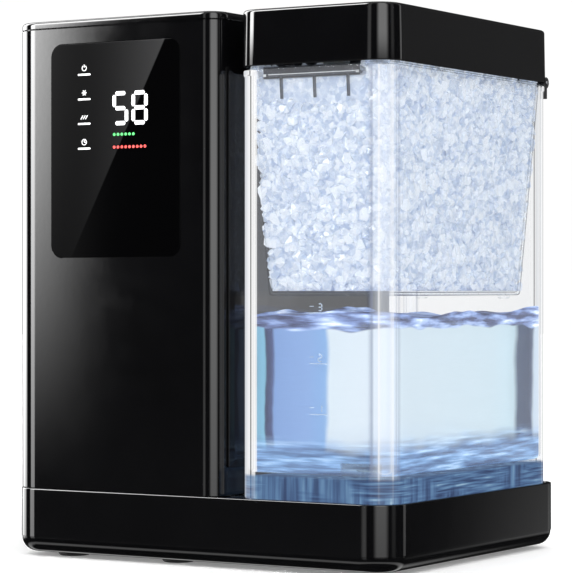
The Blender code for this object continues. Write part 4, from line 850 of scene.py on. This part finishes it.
def display_marks():
    """White digits, four touch bars with generic icons over them, and green and red status rows."""
    y = (GLASS_LOW.y - 0.00020, GLASS_LOW.y - 0.00004)
    white = bmesh.new()
    for digit, x0, x1 in (("5", -0.0665, -0.0531), ("8", -0.0501, -0.0364)):
        digit_into(white, digit, (x0, 0.3090), (x1, 0.3330), 0.0029, y)
    centre = -0.0913
    bars = (0.3461, 0.3285, 0.3110, 0.2933)
    for z in bars:
        bar_into(white, (centre - 0.0055, z), (centre + 0.0055, z), 0.0013, y)
    fine = 0.0006
    power, star, strokes, clock = ((centre, z + 0.0046) for z in bars)
    arc_into(white, power, 0.0019, -235, 55, fine, y)
    bar_into(white, (power[0], power[1] + 0.0004), (power[0], power[1] + 0.0026), fine, y)
    for k in range(3):
        turn = math.radians(60 * k)
        reach = Vector((math.cos(turn), math.sin(turn))) * 0.0021
        bar_into(white, Vector(star) - reach, Vector(star) + reach, fine, y)
    for k in range(3):
        x = strokes[0] - 0.0030 + 0.002 * k
        bar_into(white, (x, strokes[1] - 0.0014), (x + 0.0020, strokes[1] + 0.0014), fine, y)
    arc_into(white, clock, 0.0020, 0, 360, fine, y, 18)
    bar_into(white, clock, (clock[0], clock[1] + 0.0014), fine, y)
    bar_into(white, clock, (clock[0] + 0.0012, clock[1]), fine, y)
    lit = finish_mesh("display_white_marks", white, LOOKS["white_light"], weighted=False)
    settle(lit, "cabinet", "black_glass")
    for name, look, z, count in (("green", "green_light", 0.3026, 6), ("red", "red_light", 0.2936, 9)):
        row = bmesh.new()
        pitch = 0.0033
        for k in range(count):
            x = -0.0662 + pitch * k
            bar_into(row, (x, z), (x + 0.0022, z), 0.0021, y)
        status = finish_mesh(f"display_{name}_row", row, LOOKS[look], weighted=False)
        settle(status, "cabinet", "black_glass")


# ---------------- tank, basket, grip


def tank_skin():
    """The clear tank with its rolled rim, rounded floor and skirt."""
    box_of = (TANK_LOW.x, TANK_HIGH.x, TANK_LOW.y, TANK_HIGH.y, TANK_RADII)
    rim, foot, top = 0.0008, TANK_LOW.z, TANK_HIGH.z
    under = TANK_FLOOR - WALL
    rings = stacked(
        box_of, (WALL + 0.0015, under), (WALL + 0.0003, under - 0.0012), (WALL, foot), (rim + 0.0004, foot),
        (rim, foot + 0.0006), (rim, top - 0.0044), (0.0002, top - 0.0037), (0.0, top - 0.0032),
        (0.0, top - 0.0006), (0.0002, top - 0.0002), (0.0006, top), (WALL - 0.0004, top),
        (WALL, top - 0.0004), (WALL, TANK_FLOOR + 0.0042), (WALL + 0.0006, TANK_FLOOR + 0.0021),
        (WALL + 0.0020, TANK_FLOOR + 0.0006), (WALL + 0.0041, TANK_FLOOR))
    skin = loft("tank_skin", rings, LOOKS["clear_plastic"], smooth_angle=60.0)
    return settle(skin, "cabinet", "clear_plastic", "water_tank")


def litre_marks():
    """Three moulded litre marks on the tank's front: a short rule and its number."""
    front = TANK_LOW.y + 0.0008
    y = (front - 0.00016, front - 0.00004)
    maker = bmesh.new()
    for number, z in enumerate((0.1084, 0.1427, 0.1770), start=1):
        bar_into(maker, (0.0950, z), (0.1092, z), 0.0006, y)
        bar_into(maker, (0.0950, z + 0.0045), (0.0985, z + 0.0045), 0.0005, y)
        digit_into(maker, str(number), (0.1015, z + 0.0012), (0.1051, z + 0.0066), 0.0008, y)
    marks = finish_mesh("litre_marks", maker, LOOKS["print"], weighted=False)
    return settle(marks, "cabinet", "clear_plastic")


BASKET_RIM_AT = (0.0395, 0.1533, -0.1254, 0.1139)
BASKET_FLOOR_AT = (0.0490, 0.1420, -0.1150, 0.1050)
BASKET_WALL = 0.0018


def basket_sides(z, inset):
    """Left, right, front and rear of the basket's inside at a height, moved in by inset."""
    share = (z - BASKET_FLOOR) / (BASKET_HIGH.z - 0.0016 - BASKET_FLOOR)
    left, right, front, rear = [a + (b - a) * share for a, b in zip(BASKET_FLOOR_AT, BASKET_RIM_AT)]
    return left + inset, right - inset, front + inset, rear - inset


def basket_skin():
    """The clear tapered basket: flanged rim, rounded floor edge, drain slots and nibs."""
    top, rim = BASKET_HIGH.z, BASKET_HIGH.z - 0.0016
    radii = [0.012] * 4

    def at(z, inset):
        return on_z(rounded_rect(*basket_sides(z, inset), [max(r - inset, 0.001) for r in radii], 10), z)

    floor = BASKET_FLOOR
    rings = [
        at(floor, 0.0028), at(floor + 0.0003, 0.0012), at(floor + 0.0010, 0.0003), at(floor + 0.0022, 0.0),
        at(rim, 0.0), at(rim, -0.0015), at(rim + 0.0003, -0.0016), at(top - 0.0003, -0.0016),
        at(top, -0.0013), at(top, BASKET_WALL), at(floor + 0.0040, BASKET_WALL),
        at(floor + 0.0026, BASKET_WALL + 0.0006), at(floor + 0.0020, BASKET_WALL + 0.0022),
    ]
    skin = loft("basket_skin", rings, LOOKS["clear_basket"], smooth_angle=60.0)
    x0, x1, y0, y1 = BASKET_FLOOR_AT
    tools = bmesh.new()
    for i in range(5):
        for j in range(3):
            x = x0 + (x1 - x0) * (j + 0.5) / 3
            y = y0 + (y1 - y0) * (i + 0.5) / 5
            slot = rounded_rect(x - 0.010, x + 0.010, y - 0.0016, y + 0.0016, [0.0015] * 4, 4)
            loft_into(tools, [on_z(slot, floor - 0.003), on_z(slot, floor + 0.006)])
    slots = finish_mesh("slots cutter", tools, LOOKS["rubber"], weighted=False)
    cut(skin, slots)
    settle(skin, "basket", "clear_plastic", "ice_basket")
    nibs = bmesh.new()
    for x in (x0 + 0.012, x1 - 0.012):
        for y in (y0 + 0.012, y1 - 0.012):
            nib = (x - 0.0035, x + 0.0035, y - 0.0035, y + 0.0035, [0.001] * 4)
            levels = ((0.0008, BASKET_LOW.z), (0.0, BASKET_LOW.z + 0.0008), (0.0, floor - 0.0001))
            loft_into(nibs, [on_z(inset_rect(*nib, inset, 4), z) for inset, z in levels])
    feet = finish_mesh("basket_nibs", nibs, LOOKS["clear_basket"])
    settle(feet, "basket", "clear_plastic")


def painted_grip_glints():
    """Painted highlights: pale strips standing in for the light that runs along the grip's shelf and catches
    the blocks at its ends.
    """
    edge, deep, block = 0.0006, 0.00025, 0.0022
    front = GRIP_LOW.y
    shelf = GRIP_HIGH.z - 0.0051
    maker = bmesh.new()
    y = (front - deep - 0.00002, front - 0.00002)
    box_into(maker, (GRIP_LOW.x + 0.004, GRIP_HIGH.x - 0.001), y, (shelf - edge, shelf))
    for x in (GRIP_LOW.x, GRIP_HIGH.x - block):
        box_into(maker, (x, x + block), y, (shelf - 0.0016, shelf + 0.0002))
    glints = finish_mesh("painted_grip_glints", maker, LOOKS["bright_edge"])
    return settle(glints, "basket", "smoke_plastic")


def refined(node, look, bevel, subdivide=False):
    """A CAD node's own shape with its facets joined, its edges softened and its round stretches smooth."""
    maker = bmesh.new()
    maker.from_mesh(frame["nodes"][node].data)
    bmesh.ops.remove_doubles(maker, verts=maker.verts, dist=0.00001)
    bmesh.ops.dissolve_limit(maker, angle_limit=math.radians(0.6), verts=maker.verts, edges=maker.edges)
    piece = finish_mesh(node + "_fine", maker, LOOKS[look], weighted=False)
    if subdivide:
        smooth = piece.modifiers.new("round", "SUBSURF")
        smooth.levels = smooth.render_levels = 1
    elif bevel:
        soft = piece.modifiers.new("soft edges", "BEVEL")
        soft.width = bevel
        soft.segments = 2
        soft.limit_method = "ANGLE"
        soft.angle_limit = math.radians(38)
        soft.harden_normals = True
    return settle(piece, BODY_OF[node], SLOT_OF[node], node)


# ---------------- water and ice


def ripple(x, y):
    """Height of the water over its level: slow swells and short ripples."""
    swell = 0.0015 * math.sin(38 * x + 21 * y) + 0.0012 * math.sin(55 * y - 31 * x + 1.3)
    short = 0.0008 * math.sin(140 * x + 60 * y) + 0.0014 * noise.noise(Vector((x * 60, y * 60, 0.4)))
    return swell + short


def water_body():
    """The tank's water, a hair inside its walls, with a moving surface."""
    clear = WALL + 0.0004
    box_of = (TANK_LOW.x, TANK_HIGH.x, TANK_LOW.y, TANK_HIGH.y, TANK_RADII)
    floor = TANK_FLOOR + 0.0004
    dense = []
    outline = inset_rect(*box_of, clear, 12)
    for (ax, ay), (bx, by) in zip(outline, outline[1:] + outline[:1]):
        pieces = max(1, round(math.hypot(bx - ax, by - ay) / 0.004))
        dense += [(ax + (bx - ax) * k / pieces, ay + (by - ay) * k / pieces) for k in range(pieces)]
    cx, cy = (TANK_LOW.x + TANK_HIGH.x) / 2, (TANK_LOW.y + TANK_HIGH.y) / 2

    def scaled(share):
        return [(cx + (x - cx) * share, cy + (y - cy) * share) for x, y in dense]

    rings = [on_z(scaled(0.97), floor), on_z(scaled(0.99), floor + 0.0008), on_z(dense, floor + 0.003)]
    meniscus = 0.0022
    rings.append([(x, y, WATER_LEVEL + ripple(x, y) + meniscus) for x, y in dense])
    rows = 36
    for k in range(1, rows):
        share = 1 - k / rows
        lift = meniscus * math.exp(-(1 - share) * 60)
        rings.append([(x, y, WATER_LEVEL + ripple(x, y) + lift) for x, y in scaled(share)])
    water = loft("water", rings, LOOKS["water"], smooth_angle=70.0)
    return settle(water, "cabinet", "clear_plastic")


def nugget_shapes(count, rng):
    """Broken lumps: hulls of points scattered over a squashed ball."""
    shapes = []
    for _ in range(count):
        maker = bmesh.new()
        squash = Vector((rng.uniform(0.75, 1.25), rng.uniform(0.75, 1.2), rng.uniform(0.6, 1.0)))
        for _ in range(15):
            point = Vector((rng.gauss(0, 1), rng.gauss(0, 1), rng.gauss(0, 1))).normalized()
            maker.verts.new(point * squash * rng.uniform(0.85, 1.1))
        bmesh.ops.convex_hull(maker, input=maker.verts)
        bmesh.ops.delete(maker, geom=[v for v in maker.verts if not v.link_faces], context="VERTS")
        maker.verts.index_update()
        points = np.array([v.co[:] for v in maker.verts])
        faces = np.array([[v.index for v in face.verts] for face in maker.faces])
        shapes.append((points, faces))
        maker.free()
    return shapes


def ice_nuggets():
    """The basket's fill: lumps pressed against its walls and floor, a heaped top, and a cloudy core."""
    rng = random.Random(7)
    shapes = nugget_shapes(24, rng)
    inner = BASKET_WALL + 0.0003
    low = BASKET_FLOOR + 0.0045
    spots = []
    pitch = 0.0070
    for depth in (0.0024, 0.0052):
        z = low + 0.002
        while z < ICE_TOP - 0.002:
            left, right, front, rear = basket_sides(z, inner + depth)
            sides = [((left, front), (right, front)), ((right, front), (right, rear)),
                     ((right, rear), (left, rear)), ((left, rear), (left, front))]
            for (ax, ay), (bx, by) in sides:
                count = round(math.hypot(bx - ax, by - ay) / pitch)
                for k in range(count):
                    t = (k + rng.uniform(0.0, 1.0)) / count
                    spots.append((ax + (bx - ax) * t, ay + (by - ay) * t, z + rng.uniform(-0.0035, 0.0035)))
            z += pitch * 0.80
    for z, spread in ((low + 0.001, 0.0), (ICE_TOP - 0.009, 0.002), (ICE_TOP - 0.0045, 0.003)):
        left, right, front, rear = basket_sides(z, inner + 0.004)
        rows, columns = round((rear - front) / pitch), round((right - left) / pitch)
        for i in range(rows):
            for j in range(columns):
                x = left + (right - left) * (j + rng.uniform(0.1, 0.9)) / columns
                y = front + (rear - front) * (i + rng.uniform(0.1, 0.9)) / rows
                spots.append((x, y, z + rng.uniform(-0.001, 0.001) - spread * rng.random()))
    points, faces, shades = [], [], []
    offset = 0
    clear = 0.0035
    spots = [
        (x, y, z) for x, y, z in spots
        if not (GRIP_LOW.x - clear < x < GRIP_HIGH.x + clear
                and y < GRIP_HIGH.y + clear and z > GRIP_LOW.z - clear)
    ]
    for x, y, z in spots:
        shape, hull = shapes[rng.randrange(len(shapes))]
        angle = rng.uniform(0, 6.283)
        turn = Matrix.Rotation(angle, 3, Vector((rng.gauss(0, 1), rng.gauss(0, 1), rng.gauss(0, 1))))
        size = rng.uniform(0.0034, 0.0062)
        moved = shape @ np.array(turn).T * size + np.array((x, y, z))
        points.append(moved)
        faces.append(hull + offset)
        shades.append(np.full(len(moved), rng.random() ** 1.5 * 0.45))
        offset += len(moved)
    points = np.concatenate(points)
    left, right, front, rear = basket_sides(points[:, 2], inner)
    points[:, 0] = np.clip(points[:, 0], left, right)
    points[:, 1] = np.clip(points[:, 1], front, rear)
    points[:, 2] = np.clip(points[:, 2], low - 0.0012, ICE_TOP)
    mesh = bpy.data.meshes.new("ice_nuggets")
    mesh.from_pydata(points.tolist(), [], np.concatenate(faces).tolist())
    attribute = mesh.attributes.new("shade", "FLOAT", "POINT")
    attribute.data.foreach_set("value", np.concatenate(shades).astype(np.float32))
    mesh.materials.append(LOOKS["ice"])
    ice = bpy.data.objects.new("ice_nuggets", mesh)
    SCENE.collection.objects.link(ice)
    settle(ice, "basket", "clear_plastic")
    core = bmesh.new()
    inset = inner + 0.0030
    heights = (low + 0.003, low + 0.006, ICE_TOP - 0.012, ICE_TOP - 0.009)
    rings = [on_z(rounded_rect(*basket_sides(z, inset + extra), [0.006] * 4, 5), z)
             for z, extra in zip(heights, (0.003, 0.0, 0.0, 0.003))]
    loft_into(core, rings)
    heart = finish_mesh("ice_core", core, LOOKS["ice"])
    settle(heart, "basket", "clear_plastic")


# ---------------- everything

ROUND_NODES = {"evaporator_coil", "suction_pipe", "discharge_pipe", "condenser_outlet_pipe", "capillary_tube",
               "suction_hose", "supply_hose", "drain_hose"}


def main():
    place_camera()
    studio_world()
    studio_lights()
    studio_floor()
    base_skin()
    tower_skin()
    cap_skin()
    lid_skin()
    lid_arms()
    glass_skin()
    dock_skin()
    display_marks()
    tank_skin()
    litre_marks()
    basket_skin()
    painted_grip_glints()
    water_body()
    ice_nuggets()
    rebuilt = {node for piece in bpy.data.objects for node in piece.get("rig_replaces", [])}
    for node in sorted(frame["nodes"]):
        if node not in rebuilt:
            refined(node, SLOT_OF[node], 0.00025, node in ROUND_NODES)


SCENE.view_settings.view_transform = "Standard"
SCENE.cycles.transparent_max_bounces = 32
main()
